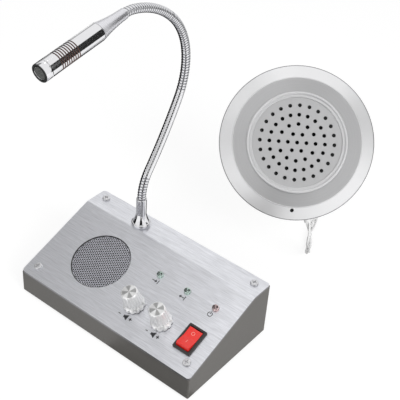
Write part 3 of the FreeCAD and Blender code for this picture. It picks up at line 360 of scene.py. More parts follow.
def arc(start, middle, end, count=8):
    """Points on the circle through three (radius, height) points, from start to end."""
    ax, ay = start
    bx, by = middle
    cx, cy = end
    d = 2 * (ax * (by - cy) + bx * (cy - ay) + cx * (ay - by))
    a2, b2, c2 = ax * ax + ay * ay, bx * bx + by * by, cx * cx + cy * cy
    ux = (a2 * (by - cy) + b2 * (cy - ay) + c2 * (ay - by)) / d
    uy = (a2 * (cx - bx) + b2 * (ax - cx) + c2 * (bx - ax)) / d
    radius = hypot(ax - ux, ay - uy)
    first = atan2(ay - uy, ax - ux)
    turn = atan2(cy - uy, cx - ux) - first
    half = atan2(by - uy, bx - ux) - first
    turn = (turn + pi) % (2 * pi) - pi
    half = (half + pi) % (2 * pi) - pi
    if half * turn < 0:
        turn -= 2 * pi * (1 if turn > 0 else -1)
    return [
        (ux + radius * cos(first + turn * k / count), uy + radius * sin(first + turn * k / count))
        for k in range(count + 1)
    ]


def settle(piece, material, body, place=None, angle=32):
    """Put a finished mesh at its place, leave its object at the origin, and give it its finish and body."""
    select_only(piece)
    if place is not None:
        piece.matrix_world = place
    bpy.ops.object.transform_apply(location=True, rotation=True, scale=True)
    bpy.ops.object.shade_smooth_by_angle(angle=radians(angle))
    piece.data.materials.clear()
    piece.data.materials.append(material)
    if body is not None:
        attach(piece, body)
    return piece


def join(name, pieces):
    """Make one piece of several."""
    select_only(*pieces)
    if len(pieces) > 1:
        bpy.ops.object.join()
    return named(name)


def finish_nodes(material, *names):
    """Give CAD nodes their material, in their objects' own slots."""
    for name in names:
        for slot in frame["nodes"][name].material_slots:
            slot.material = material


def dress(name, *nodes):
    """Give CAD nodes a plain finish from the table."""
    finish_nodes(finish(name), *nodes)


# ---- places on the object ----
def slope_place(column, row, height=0.0):
    """The panel's own frame at a column along X and a row up the slope, z out of the panel."""
    knob = JOINTS["volume_left_turn"]
    out = Vector(knob["axis"])
    along = Vector((0, out.z, -out.y))
    spot = Vector(knob["pos_m"]) + Vector((column - KNOB_COLUMN, 0, 0)) * MM
    spot += along * (row - CONTROL_ROW) * MM + out * height * MM
    return Matrix.Translation(spot) @ Matrix.Rotation(atan2(-out.y, out.z), 4, "X")


def window_frame():
    lean = Matrix.Rotation(radians(90 - WINDOW_ELEVATION), 4, "X")
    turn = Matrix.Rotation(radians(WINDOW_AZIMUTH), 4, "Z")
    return Matrix.Translation(WINDOW_PLACE * MM) @ turn @ lean


def hose_point(distance):
    """Point, in millimetres, and lean of the hose's middle line at a distance from the ledge."""
    spot = NECK_FOOT.copy()
    lean = 0.0
    for length, turn in HOSE_SPANS:
        part = min(distance, length)
        bend = radians(turn) * part / length
        if abs(bend) < 1e-9:
            spot += Vector((0, sin(lean), cos(lean))) * part
        else:
            radius = part / bend
            spot += Vector((0, cos(lean) - cos(lean + bend), sin(lean + bend) - sin(lean))) * radius
            lean += bend
        distance -= part
        if distance <= 0:
            break
    return spot, lean


def mic_frame():
    spot, lean = hose_point(sum(length for length, _ in HOSE_SPANS))
    return Matrix.Translation(spot * MM) @ Matrix.Rotation(-lean, 4, "X")


# ---- materials ----
# Plain finishes: the colour or the setting that holds it, the grain's size in millimetres and its bump,
# metallic, roughness, and where they aren't the usual ones the spread of tone and the clear coat. Real
# grains of coats, castings and mouldings are 0.05 to 0.3 mm; they are drawn coarser, so that they show.
FINISHES = {
    # powder coat on folded steel: dull and even, with a fine orange peel
    "powder_coated_steel": ("case", 0.7, 0.25, 0.0, 0.55, 0.03),
    # the panel's sheared edge: a dull grey line beside the bright face
    "sheared_steel_edge": ("#8C8C8E", 0.4, 0.05, 0.7, 0.5),
    # zinc plate on steel screws and nuts: pale, with soft highlights
    "bright_zinc_plate": ("#E2E2E4", 0.6, 0.08, 1.0, 0.42),
    # moulded rubber feet: black and dull, so they show as a shadow line
    "moulded_foot_rubber": ("#1E1E1E", 0.5, 0.15, 0.0, 0.7),
    # moulded polyester sockets: black with a slight gloss
    "moulded_socket": ("#1B1B1C", 0.4, 0.06, 0.0, 0.35),
    # extruded soft PVC: pale and smooth, with a faintly oily shine
    "extruded_pvc": ("lead", 0.5, 0.05, 0.0, 0.32, 0.02, 0.15),
    # moulded rubber of boots and ties: black, with broad weak highlights
    "moulded_rubber": ("#222222", 0.4, 0.1, 0.0, 0.6),
    # moulded plug shell: black plastic with a satin shine
    "moulded_plug_shell": ("#1C1C1D", 0.5, 0.08, 0.0, 0.4),
    # nickel plate on brass: bright, and slightly warm
    "nickelled_brass": ("#D9D3C0", 0.4, 0.03, 1.0, 0.2),
    # screen-printed ink: flat black with a faint tooth
    "screen_print_ink": ("ink", 0.3, 0.1, 0.0, 0.6),
    # stamped and plated steel sheet: silvery, a little duller than the panel
    "stamped_steel_mesh": ("#DCDCE4", 0.5, 0.05, 0.8, 0.4),
    # pressed wool felt: black, with no shine and a soft nap; the strip of it round the speaker mesh is also
    # painted shade at the hole's edge
    "black_felt": ("#1C1C1D", 0.4, 0.4, 0.0, 0.95),
    # stoved enamel on pressed steel: near black, with a low sheen
    "stoved_enamel": ("#262626", 0.5, 0.08, 0.3, 0.45),
    # pressed paper pulp: black, dull and slightly fibrous
    "pulp_cone": ("#141414", 0.8, 0.3, 0.0, 0.85),
    # ground ferrite: dark grey, with a stony grain
    "ground_ferrite": ("#2C2C2E", 0.4, 0.2, 0.2, 0.5),
    # polished red nylon: glossy, with crisp highlights
    "polished_red_nylon": ("rocker", 0.9, 0.03, 0.0, 0.22, 0.03, 0.4),
    # satin black nylon from an etched mould: soft highlights along its edges
    "satin_black_nylon": ("bezel", 0.5, 0.1, 0.0, 0.42),
    # enamel filled into a moulded mark: pale and smooth on the red
    "filled_mark_enamel": ("#F2A196", 0.4, 0.03, 0.0, 0.4),
    # tin plate on brass: bright and slightly yellow
    "tinned_brass": ("#D8C9A0", 0.3, 0.03, 1.0, 0.25),
    # lead frame cast inside a lamp, painted near black: a painted dark reflection, seen as a dark shape
    # through the lens
    "oxidised_lead_frame": ("#101A18", 0.3, 0.05, 0.2, 0.4),
    # white floor under a lamp's lens: a painted highlight, which brightens the lens from below
    "cloudy_epoxy_floor": ("#F2F4F3", 0.3, 0.03, 0.0, 0.4),
    # painted shade between the hose's windings: a greyer line in each groove
    "steel_in_hose_groove": ("#9A9BA0", 0.5, 0.03, 1.0, 0.3),
    # pearl chrome plate: mirror-like forms, softly blurred
    "pearl_chrome_plate": ("#E2E2E6", 0.3, 0.03, 1.0, 0.33),
    # copper flash under the chrome, bare in the microphone's grooves: warm brown rings
    "copper_flash": ("groove", 0.3, 0.05, 1.0, 0.3),
    # matt black lacquer inside the rim: no shine round the mouth
    "matt_black_lacquer": ("#242525", 0.3, 0.05, 0.0, 0.65),
    # blackened wire cloth, rubbed bare: grey metal with a broken shine
    "blackened_wire_cloth": ("#868886", 0.3, 0.1, 0.7, 0.45),
    # anodised capsule: dark metal deep in the mouth
    "anodised_capsule": ("#303132", 0.4, 0.05, 0.8, 0.35),
    # satin-anodised aluminium of the bevel: pale, with broad soft highlights
    "satin_anodised_bevel": ("bevel", 0.6, 0.04, 0.55, 0.38, 0.01),
    # fine-blasted and anodised aluminium: an even silver grey
    "fine_blasted_disc": ("grille", 0.7, 0.15, 0.7, 0.42, 0.01),
    # satin-anodised aluminium of the bead: a clear highlight along its crest
    "satin_anodised_bead": ("#D4D4D5", 0.6, 0.04, 0.55, 0.34, 0.01),
    # a thin grey ring round the bezel's outer edge: painted shade and shadow along it
    "machined_edge": ("#9A9A9C", 0.4, 0.03, 0.8, 0.4),
    # silver-pigmented ABS: grey and satin, from an etched mould
    "silver_moulded_abs": ("#B9B9B8", 0.7, 0.15, 0.0, 0.45, 0.02),
    # closed-cell foam: off-white and dull, with fine pores
    "closed_cell_foam": ("#D9D9D4", 0.8, 0.5, 0.0, 0.9),
    # solder resist on a board: green and glossy, over uneven copper
    "green_solder_resist": ("#1F6B3A", 1.2, 0.05, 0.0, 0.35, 0.1),
    # moulded epoxy of parts on the board: black, with a dull shine
    "moulded_epoxy": ("#202124", 0.4, 0.1, 0.0, 0.45),
}
PATCH_SIZE = 1000 / 60  # mm, of the soft patches of tone on a plain finish
HAZE_SIZE = 1000 / 300  # mm, of the haze on bright plate
CLOUD_SIZE = 2.0  # mm, of the clouds on a cast lens
BY_TONE = {"data_type": "RGBA", "blend_type": "MULTIPLY"}  # a Mix node that shades a colour


def add(tree, kind, inputs=None, **settings):
    """Add a node with its settings, and feed its sockets."""
    made = tree.nodes.new("ShaderNode" + kind)
    for key, value in settings.items():
        setattr(made, key, value)
    feed(tree, made, inputs or {})
    return made


def feed(tree, node, inputs):
    """Give a node's sockets their values or links."""
    for key, value in inputs.items():
        if isinstance(value, bpy.types.NodeSocket):
            tree.links.new(value, node.inputs[key])
        else:
            node.inputs[key].default_value = value


def surface(name, **skin):
    """A new material with its shader's plain values set. Gives the material, its tree and its shader."""
    material = bpy.data.materials.new(name)
    material.use_nodes = True
    tree = material.node_tree
    shader = tree.nodes["Principled BSDF"]
    feed(tree, shader, {key.replace("_", " "): value for key, value in skin.items()})
    return material, tree, shader


def stretched(tree, *sizes):
    """Object coordinates scaled for a pattern so many millimetres long, all ways or along each axis."""
    place = add(tree, "TexCoord").outputs["Object"]
    scale = [1 / (size * MM) for size in sizes] * (3 // len(sizes))
    return add(tree, "Mapping", {"Vector": place, "Scale": scale}).outputs["Vector"]


def finish(name):
    """A plain finish from the table, made when a piece first asks for it."""
    return bpy.data.materials.get(name) or grained(name, *FINISHES[name])


def grained(name, tint, grain, strength, metallic, roughness, spread=0.06, coat=0.0):
    """A finish with a fine grain, whose tone and gloss vary a little from place to place."""
    tint = linear(tint) if tint[0] == "#" else getattr(bpy.context.scene.intercom_colours, tint)
    material, tree, shader = surface(name, Metallic=metallic, Coat_Weight=coat)
    fine = {"Vector": stretched(tree, grain), "Scale": 1.0, "Detail": 3.0}
    noise = add(tree, "TexNoise", fine).outputs["Fac"]
    broad = {"Vector": stretched(tree, PATCH_SIZE), "Scale": 1.0, "Detail": 2.0}
    patches = add(tree, "TexNoise", broad).outputs["Fac"]
    tone = add(tree, "MapRange", {"Value": patches, "To Min": 1 - spread, "To Max": 1 + spread})
    mixed = add(tree, "Mix", {0: 1.0, 6: tint, 7: tone.outputs[0]}, **BY_TONE)
    low, high = roughness * 0.85, roughness * 1.15
    rough = add(tree, "MapRange", {"Value": noise, "To Min": low, "To Max": high})
    bump = add(tree, "Bump", {"Height": noise, "Strength": strength, "Distance": grain * MM * 0.5})
    feed(tree, shader, {"Base Color": mixed.outputs[2], "Roughness": rough.outputs[0]})
    feed(tree, shader, {"Normal": bump.outputs["Normal"]})
    return material


def brushed_sheet(colours):
    """Stainless sheet, belt-brushed along the panel: fine streaks, and light drawn out across them.

    The real scratches are about 0.1 mm apart; they are drawn 0.42 mm apart so that they show.
    """
    material, tree, shader = surface("belt_brushed_stainless", Metallic=1.0, Anisotropic=0.3)
    fine = stretched(tree, 11, 0.42, 0.42)
    wide = stretched(tree, 26, 1.6, 1.6)
    streaks = add(tree, "TexNoise", {"Vector": fine, "Scale": 1.0, "Detail": 4.0, "Roughness": 0.6})
    bands = add(tree, "TexNoise", {"Vector": wide, "Scale": 1.0, "Detail": 2.0})
    blend = {0: 0.25, 2: streaks.outputs["Fac"], 3: bands.outputs["Fac"]}
    both = add(tree, "Mix", blend, data_type="FLOAT").outputs[0]
    tones = {"Value": both, "From Min": 0.32, "From Max": 0.68, "To Min": 0.75, "To Max": 1.12}
    tone = add(tree, "MapRange", tones)
    mixed = add(tree, "Mix", {0: 1.0, 6: colours.panel, 7: tone.outputs[0]}, **BY_TONE)
    levels = {"Value": both, "From Min": 0.3, "From Max": 0.7, "To Min": 0.4, "To Max": 0.3}
    rough = add(tree, "MapRange", levels)
    across = add(tree, "CombineXYZ", {0: 0.0, 1: 1.0, 2: 0.35})
    feed(tree, shader, {"Base Color": mixed.outputs[2], "Roughness": rough.outputs[0]})
    feed(tree, shader, {"Tangent": across.outputs[0]})
    return material


def bright_plate(colours):
    """Nickel-chrome plate over buffed brass: a mirror with a very slight haze."""
    material, tree, shader = surface("buffed_chrome_plate", Metallic=1.0, Base_Color=colours.chrome)
    where = {"Vector": stretched(tree, HAZE_SIZE), "Scale": 1.0, "Detail": 3.0}
    haze = add(tree, "TexNoise", where)
    rough = add(tree, "MapRange", {"Value": haze.outputs["Fac"], "To Min": 0.06, "To Max": 0.13})
    feed(tree, shader, {"Roughness": rough.outputs[0]})
    return material


def turned_metal(name, tint, centre, axis, roughness, pitch=0.35, painted_fan_depth=0.0, side=False, metallic=1.0):
    """Metal worked on a lathe: fine rings about an axis, which draw light out across them.

    The real marks are about 0.1 mm apart; they are drawn 0.35 mm apart or more so that they show.
    A fan depth paints pale and dark fans that turn round a faced top's middle: painted highlights and
    painted shade of its spun face.
    """
    material, tree, shader = surface(name, Metallic=metallic, Anisotropic=0.8)
    place = add(tree, "TexCoord").outputs["Object"]
    arm = add(tree, "VectorMath", {0: place, 1: centre}, operation="SUBTRACT").outputs[0]
    if side:
        along = add(tree, "VectorMath", {0: arm, 1: axis}, operation="DOT_PRODUCT")
        way = add(tree, "CombineXYZ", {0: axis.x, 1: axis.y, 2: axis.z}).outputs[0]
    else:
        cross = add(tree, "VectorMath", {0: arm, 1: axis}, operation="CROSS_PRODUCT")
        along = add(tree, "VectorMath", {0: cross.outputs[0]}, operation="LENGTH")
        way = arm
    rings = add(tree, "Math", {0: along.outputs["Value"], 1: 1 / (pitch * MM)}, operation="MULTIPLY")
    marks = {"W": rings.outputs[0], "Scale": 1.0, "Detail": 3.0}
    noise = add(tree, "TexNoise", marks, noise_dimensions="1D").outputs["Fac"]
    tone = add(tree, "MapRange", {"Value": noise, "To Min": 0.9, "To Max": 1.04})
    mixed = add(tree, "Mix", {0: 1.0, 6: tint, 7: tone.outputs[0]}, **BY_TONE).outputs[2]
    low, high = roughness * 0.9, roughness * 1.1
    rough = add(tree, "MapRange", {"Value": noise, "To Min": low, "To Max": high})
    if painted_fan_depth:
        mixed = painted_fans(tree, mixed, arm, axis, painted_fan_depth)
    spaces = {"vector_type": "VECTOR", "convert_from": "OBJECT", "convert_to": "WORLD"}
    across = add(tree, "VectorTransform", {"Vector": way}, **spaces)
    feed(tree, shader, {"Base Color": mixed, "Roughness": rough.outputs[0]})
    feed(tree, shader, {"Tangent": across.outputs[0]})
    return material


def painted_fans(tree, mixed, arm, axis, painted_fan_depth):
    """Four pale and four dark fans about an axis, over a colour: painted highlights and painted shade."""
    level = Vector((1, 0, 0))
    rise = add(tree, "VectorMath", {0: arm, 1: axis.cross(level)}, operation="DOT_PRODUCT")
    run = add(tree, "VectorMath", {0: arm, 1: level}, operation="DOT_PRODUCT")
    ends = {0: rise.outputs["Value"], 1: run.outputs["Value"]}
    angle = add(tree, "Math", ends, operation="ARCTAN2")
    waves = add(tree, "Math", {0: angle.outputs[0], 1: 4.0, 2: 1.4}, operation="MULTIPLY_ADD")
    swing = add(tree, "Math", {0: waves.outputs[0]}, operation="SINE")
    tones = {"Value": swing.outputs[0], "From Min": -0.7, "From Max": 0.7}
    tones |= {"To Min": 1 - painted_fan_depth, "To Max": 1 + painted_fan_depth / 8}
    fan = add(tree, "MapRange", tones, interpolation_type="SMOOTHSTEP")
    return add(tree, "Mix", {0: 1.0, 6: mixed, 7: fan.outputs[0]}, **BY_TONE).outputs[2]


def tinted_lens(name, tint):
    """Clear epoxy with a tint, cast smooth: glassy, so that the frame inside shows."""
    glass = {"IOR": 1.5, "Coat_Weight": 0.5, "Transmission_Weight": 0.92}
    material, tree, shader = surface(name, Metallic=0.0, Base_Color=tint, **glass)
    where = {"Vector": stretched(tree, CLOUD_SIZE), "Scale": 1.0, "Detail": 1.0}
    cloud = add(tree, "TexNoise", where)
    rough = add(tree, "MapRange", {"Value": cloud.outputs["Fac"], "To Min": 0.03, "To Max": 0.1})
    feed(tree, shader, {"Roughness": rough.outputs[0]})
    return material


# ---- studio ----
def shows_background(tree):
    """One for rays that should see the white background: the camera's, and mirrored or passed ones."""
    path = add(tree, "LightPath").outputs
    seen = add(tree, "Math", {0: path["Is Camera Ray"], 1: path["Is Glossy Ray"]}, operation="MAXIMUM")
    rays = {0: seen.outputs[0], 1: path["Is Transmission Ray"]}
    return add(tree, "Math", rays, operation="MAXIMUM").outputs[0]


class INTERCOM_OT_studio(bpy.types.Operator):
    """Set up the floor, the white surroundings, the lamps and the camera"""

    bl_idname = "intercom.studio"
    bl_label = "Studio"

    def execute(self, context):
        studio = context.scene.intercom_studio
        self.camera(studio)
        self.surroundings(context.scene, studio)
        self.floor()
        self.cards()
        self.lamps()
        context.scene.view_settings.view_transform = "Standard"
        return {"FINISHED"}

    def camera(self, studio):
        bpy.ops.object.camera_add()
        camera = named("camera")
        camera.data.lens = studio.lens
        camera.data.sensor_width = SENSOR_WIDTH
        back = CAMERA_RIGHT.cross(CAMERA_UP)
        turn = Matrix((CAMERA_RIGHT, CAMERA_UP, back)).transposed().to_4x4()
        camera.matrix_world = Matrix.Translation(CAMERA_PLACE) @ turn
        camera.data.clip_start = CAMERA_NEAR
        bpy.context.scene.camera = camera

    def surroundings(self, scene, studio):
        """White to the camera and in reflections, and an even fill for all else."""
        world = scene.world or bpy.data.worlds.new("studio")
        scene.world = world
        world.use_nodes = True
        tree = world.node_tree
        tree.nodes.clear()
        levels = {0: shows_background(tree), 2: studio.fill, 3: studio.background}
        level = add(tree, "Mix", levels, data_type="FLOAT")
        glow = add(tree, "Background", {"Color": WHITE, "Strength": level.outputs[0]})
        add(tree, "OutputWorld", {"Surface": glow.outputs[0]})

    def floor(self):
        """A white sweep of matt card that keeps the object's soft shadow."""
        bpy.ops.mesh.primitive_plane_add(size=SWEEP_SIZE, location=(0, 0, -SWEEP_DROP))
        sweep = named("floor")
        dull = {"Roughness": 0.9, "Specular_IOR_Level": 0.0, "Base_Color": SWEEP_GREY}
        material, tree, shader = surface("white_sweep", Emission_Color=WHITE, **dull)
        glow = add(tree, "Math", {0: shows_background(tree), 1: SWEEP_GLOW}, operation="MULTIPLY")
        feed(tree, shader, {"Emission Strength": glow.outputs[0]})
        sweep.data.materials.append(material)

    def cards(self):
        """Dark and grey cards, seen only in bright metal, that give it its streaks and shading."""
        for turn, spread, near, far, low, high, tone in STANDING_CARDS:
            bpy.ops.mesh.primitive_plane_add(size=1.0)
            card = named("standing_card")
            side = tan(radians(spread / 2))
            corners = [(near, -near * side), (far, -far * side), (near, near * side), (far, far * side)]
            for vertex, (x, y) in zip(card.data.vertices, corners):
                vertex.co = (x, y, 0)
                vertex.select = x == far
            for edge in card.data.edges:
                edge.select = all(card.data.vertices[v].select for v in edge.vertices)
            for face in card.data.polygons:
                face.select = False
            edit(card, "EDGE")
            bpy.ops.mesh.extrude_edges_move(TRANSFORM_OT_translate={"value": (0, 0, high - low)})
            leave()
            card.location = (NECK_FOOT.x * MM, NECK_FOOT.y * MM, low)
            card.rotation_euler = (0, 0, radians(turn))
            self.hide_card(card, tone)
        for spot, size, tone in HUNG_CARDS:
            bpy.ops.mesh.primitive_plane_add(size=1.0, location=spot)
            card = named("hung_card")
            card.scale = (*size, 1.0)
            card.rotation_mode = "QUATERNION"
            card.rotation_quaternion = (CARD_AIM - Vector(spot)).to_track_quat("Z", "Y")
            self.hide_card(card, tone)

    def hide_card(self, card, tone):
        dull = {"Roughness": 1.0, "Specular_IOR_Level": 0.0, "Base_Color": BLACK}
        glow = {"Emission_Color": WHITE, "Emission_Strength": tone}
        card.data.materials.append(surface("card_%d" % round(100 * tone), **dull, **glow)[0])
        for ray in ("camera", "diffuse", "transmission", "shadow", "volume_scatter"):
            setattr(card, "visible_" + ray, False)

    def lamps(self):
        """Soft boxes: a key to the right, one in front and a weak one to the left."""
        for name, spot, size, power in LAMPS:
            bpy.ops.object.light_add(type="AREA", location=spot)
            lamp = named("soft_box_" + name)
            lamp.data.shape = "RECTANGLE"
            lamp.data.size, lamp.data.size_y = size
            lamp.data.energy = power
            lamp.rotation_mode = "QUATERNION"
            lamp.rotation_quaternion = (LAMP_AIM - Vector(spot)).to_track_quat("-Z", "Y")
            lamp.visible_glossy = False


# ---- lead ----
class INTERCOM_OT_lead(bpy.types.Operator):
    """Lay the twisted lead from the window unit to its coil and plug"""

    bl_idname = "intercom.lead"
    bl_label = "Lead"

    def execute(self, context):
        line = self.middle_line()
        lead = join("twisted_lead", [self.strand(line, side) for side in (0.0, pi)])
        settle(lead, finish("extruded_pvc"), "unit", angle=60)
        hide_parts("lead_tube", "lead_coil", "lead_tail")
        dress("extruded_pvc", "lead_grommet")
        dress("moulded_rubber", "plug_boot")
        dress("moulded_plug_shell", "plug_shell")
        dress("nickelled_brass", "plug_tip")
        self.tie()
        return {"FINISHED"}

    def coil_points(self):
        """The coil's turns: each lies in its own slot of the section and eases over to the next."""
        shrink = (3 + cos(2 * pi / COIL_POINTS)) / 4  # the curve cuts inside its points by this much
        turns = len(COIL_SLOTS) - 1
        points = []
        for k in range(1, turns * COIL_POINTS + COIL_POINTS // 4 - 1):
            gone = k / COIL_POINTS
            slot = min(int(gone), turns)
            part = min(1.0, max(0.0, (gone - slot - 1 + COIL_CROSSING) / COIL_CROSSING))
            ease = part * part * (3 - 2 * part)
            here = COIL_SLOTS[slot]
            after = COIL_SLOTS[min(slot + 1, turns)]
            column = here[0] + (after[0] - here[0]) * ease
            row = here[1] + (after[1] - here[1]) * ease
            radius = (COIL_TURN_RADIUS + (column - 1) * LEAD_DIAMETER) / shrink
            angle = 2 * pi * gone
            height = LEAD_DIAMETER * (row + 0.5)
            x, y = COIL_CENTRE[0] + radius * cos(angle), COIL_CENTRE[1] + radius * sin(angle)
            points.append((x, y, height))
        return points

    def middle_line(self):
        """The lead's middle line, as the points of a smooth curve."""
        points = [*LEAD_ROUTE, *self.coil_points(), *LEAD_TAIL]
        curve, spline = self.curve("lead_route", "NURBS", [Vector(point) * MM for point in points])
        spline.order_u = 3
        spline.use_endpoint_u = True
        spline.resolution_u = 6
        route = bpy.data.objects.new("lead_route", curve)
        bpy.context.collection.objects.link(route)
        line = bpy.data.meshes.new_from_object(route)
        spots = [v.co.copy() for v in line.vertices]
        bpy.data.objects.remove(route)
        return spots

    def curve(self, name, kind, spots):
        """A new curve through spots, and its one spline."""
        curve = bpy.data.curves.new(name, "CURVE")
        curve.dimensions = "3D"
        spline = curve.splines.new(kind)
        spline.points.add(len(spots) - 1)
        for knot, spot in zip(spline.points, spots):
            knot.co = (*spot, 1.0)
        return curve, spline

    def strand(self, line, phase):
        """One core, wound round the lead's middle line."""
        side = Vector((1, 0, 0))
        gone = 0.0
        spots = []
        for k, spot in enumerate(line):
            ahead = (line[min(k + 1, len(line) - 1)] - line[max(k - 1, 0)]).normalized()
            side = (side - ahead * side.dot(ahead)).normalized()
            other = ahead.cross(side)
            turn = phase + 2 * pi * gone / (TWIST_PITCH * MM)
            spots.append(spot + (side * cos(turn) + other * sin(turn)) * TWIST_RADIUS * MM)
            if k + 1 < len(line):
                gone += (line[k + 1] - spot).length
        curve, _ = self.curve("core", "POLY", spots)
        curve.bevel_depth = STRAND_RADIUS * MM
        curve.bevel_resolution = 2
        curve.use_fill_caps = True
        core = bpy.data.objects.new("core", curve)
        bpy.context.collection.objects.link(core)
        select_only(core)
        bpy.ops.object.convert(target="MESH")
        return bpy.context.object

    def tie(self):
        """A soft band round the coil's turns: three across and four high, with a little room."""
        wide = 3 * LEAD_DIAMETER + 1.0
        tall = 4 * LEAD_DIAMETER + 0.4
        band = block("coil_tie", wide, TIE_WIDTH, tall)
        edit(band, "FACE", "DESELECT")
        leave()
        # the two ends, through which the turns pass
        for face in band.data.polygons:
            face.select = abs(face.normal.y) > 0.9
        edit(band, "FACE")
        bpy.ops.mesh.inset(thickness=TIE_WALL * MM)
        bpy.ops.mesh.bridge_edge_loops()
        leave()
        tidy_mesh(band)
        apply_modifier(band, "BEVEL", width=TIE_ROUND * MM, segments=2, limit_method="ANGLE")
        spot = Vector((COIL_CENTRE[0] - COIL_TURN_RADIUS, COIL_CENTRE[1], tall / 2))
        place = Matrix.Translation(spot * MM)
        settle(band, finish("moulded_rubber"), "unit", place)


# ---- case and panel ----
class INTERCOM_OT_case(bpy.types.Operator):
    """Finish the case, the brushed panel, its screws, the feet and the rear sockets"""

    bl_idname = "intercom.case"
    bl_label = "Case"

    def execute(self, context):
        dress("powder_coated_steel", "base_case")
        finish_nodes(brushed_sheet(context.scene.intercom_colours), "top_panel")
        panel = frame["nodes"]["top_panel"]
        panel.data.materials.append(finish("sheared_steel_edge"))
        for face in panel.data.polygons:
            if abs(face.normal.z) < SHEARED_FACING:
                face.material_index = len(panel.data.materials) - 1
        dress("bright_zinc_plate", "panel_screws", "window_screws", "socket_nuts")
        dress("moulded_foot_rubber", "rubber_feet")
        dress("moulded_socket", "power_inlet", "lead_socket")
        return {"FINISHED"}


class INTERCOM_OT_marks(bpy.types.Operator):
    """Print the plain marks on the panel: less, loudspeaker, more, in, out and power"""

    bl_idname = "intercom.marks"
    bl_label = "Panel marks"

    def execute(self, context):
        marks = []
        first = KNOB_COLUMN + MARK_SHIFT
        for column in (first, first + COLUMN_PITCH):
            marks.append(self.bar(column + LESS_SHIFT, MARK_ROW, 2.0, 0.6))
            marks += self.loudspeaker(column + HORN_SHIFT, MARK_ROW)
            marks.append(self.bar(column + MORE_SHIFT, MARK_ROW, 2.4, 0.75))
            marks.append(self.bar(column + MORE_SHIFT, MARK_ROW, 0.75, 2.4))
        marks += self.arrow(first + IN_SHIFT, LABEL_ROW, 1)
        marks += self.arrow(first + COLUMN_PITCH + OUT_SHIFT, LABEL_ROW, -1)
        marks += self.power(first + 2 * COLUMN_PITCH + POWER_SHIFT, LABEL_ROW)
        printed = join("panel_print", marks)
        apply_modifier(printed, "SOLIDIFY", thickness=INK_THICKNESS * MM, offset=1.0)
        settle(printed, finish("screen_print_ink"), "unit", slope_place(0, 0, INK_LIFT))
        return {"FINISHED"}

    def bar(self, x, y, length, width):
        """A flat bar about a place in millimetres."""
        bpy.ops.mesh.primitive_plane_add(size=MM, location=(x * MM, y * MM, 0))
        piece = bpy.context.object
        piece.scale = (length, width, 1)
        bpy.ops.object.transform_apply(location=True, rotation=True, scale=True)
        return piece

    def widen(self, piece, edge, way, scale):
        """Scale the side of a flat mark that lies past a line along x."""
        edit(piece, choice="DESELECT")
        leave()
        for v in piece.data.vertices:
            v.select = (v.co.x - edge * MM) * way > 0
        bpy.ops.object.mode_set(mode="EDIT")
        bpy.ops.transform.resize(value=(1, scale, 1))
        leave()

    def loudspeaker(self, x, y):
        """A box with a horn that widens to its right."""
        box = self.bar(x - 1.2, y, 1.3, 1.9)
        horn = self.bar(x + 0.5, y, 2.3, 2.0)
        self.widen(horn, x + 0.5, 1, 2.5)
        return [box, horn]

    def arrow(self, x, y, way):
        """An arrow towards a short wall, or away from it."""
        shaft = self.bar(x - 0.9 * way, y, 3.0, 0.6)
        head = self.bar(x + 1.2 * way, y, 1.6, 2.6)
        self.widen(head, x + 1.2 * way, way, 0.02)
        return [shaft, head, self.bar(x + 2.9, y, 0.6, 3.4)]

    def power(self, x, y):
        """The usual ring, broken at its top, with a bar in the gap."""
        middle = (x * MM, y * MM, 0)
        bpy.ops.mesh.primitive_circle_add(vertices=40, radius=RING_RADIUS * MM, location=middle)
        piece = bpy.context.object
        bpy.ops.object.transform_apply(location=True)
        edit(piece, "EDGE", "SELECT")
        bpy.ops.mesh.extrude_edges_move()
        bpy.ops.transform.resize(value=(RING_INNER_SHARE, RING_INNER_SHARE, 1))
        bpy.ops.mesh.select_all(action="DESELECT")
        leave()
        for face in piece.data.polygons:
            near = abs(face.center.x - x * MM) < RING_GAP_REACH * MM
            face.select = near and face.center.y > y * MM
        edit(piece, "FACE")
        bpy.ops.mesh.delete(type="FACE")
        leave()
        return [piece, self.bar(x, y + 1.3, 0.55, 2.4)]


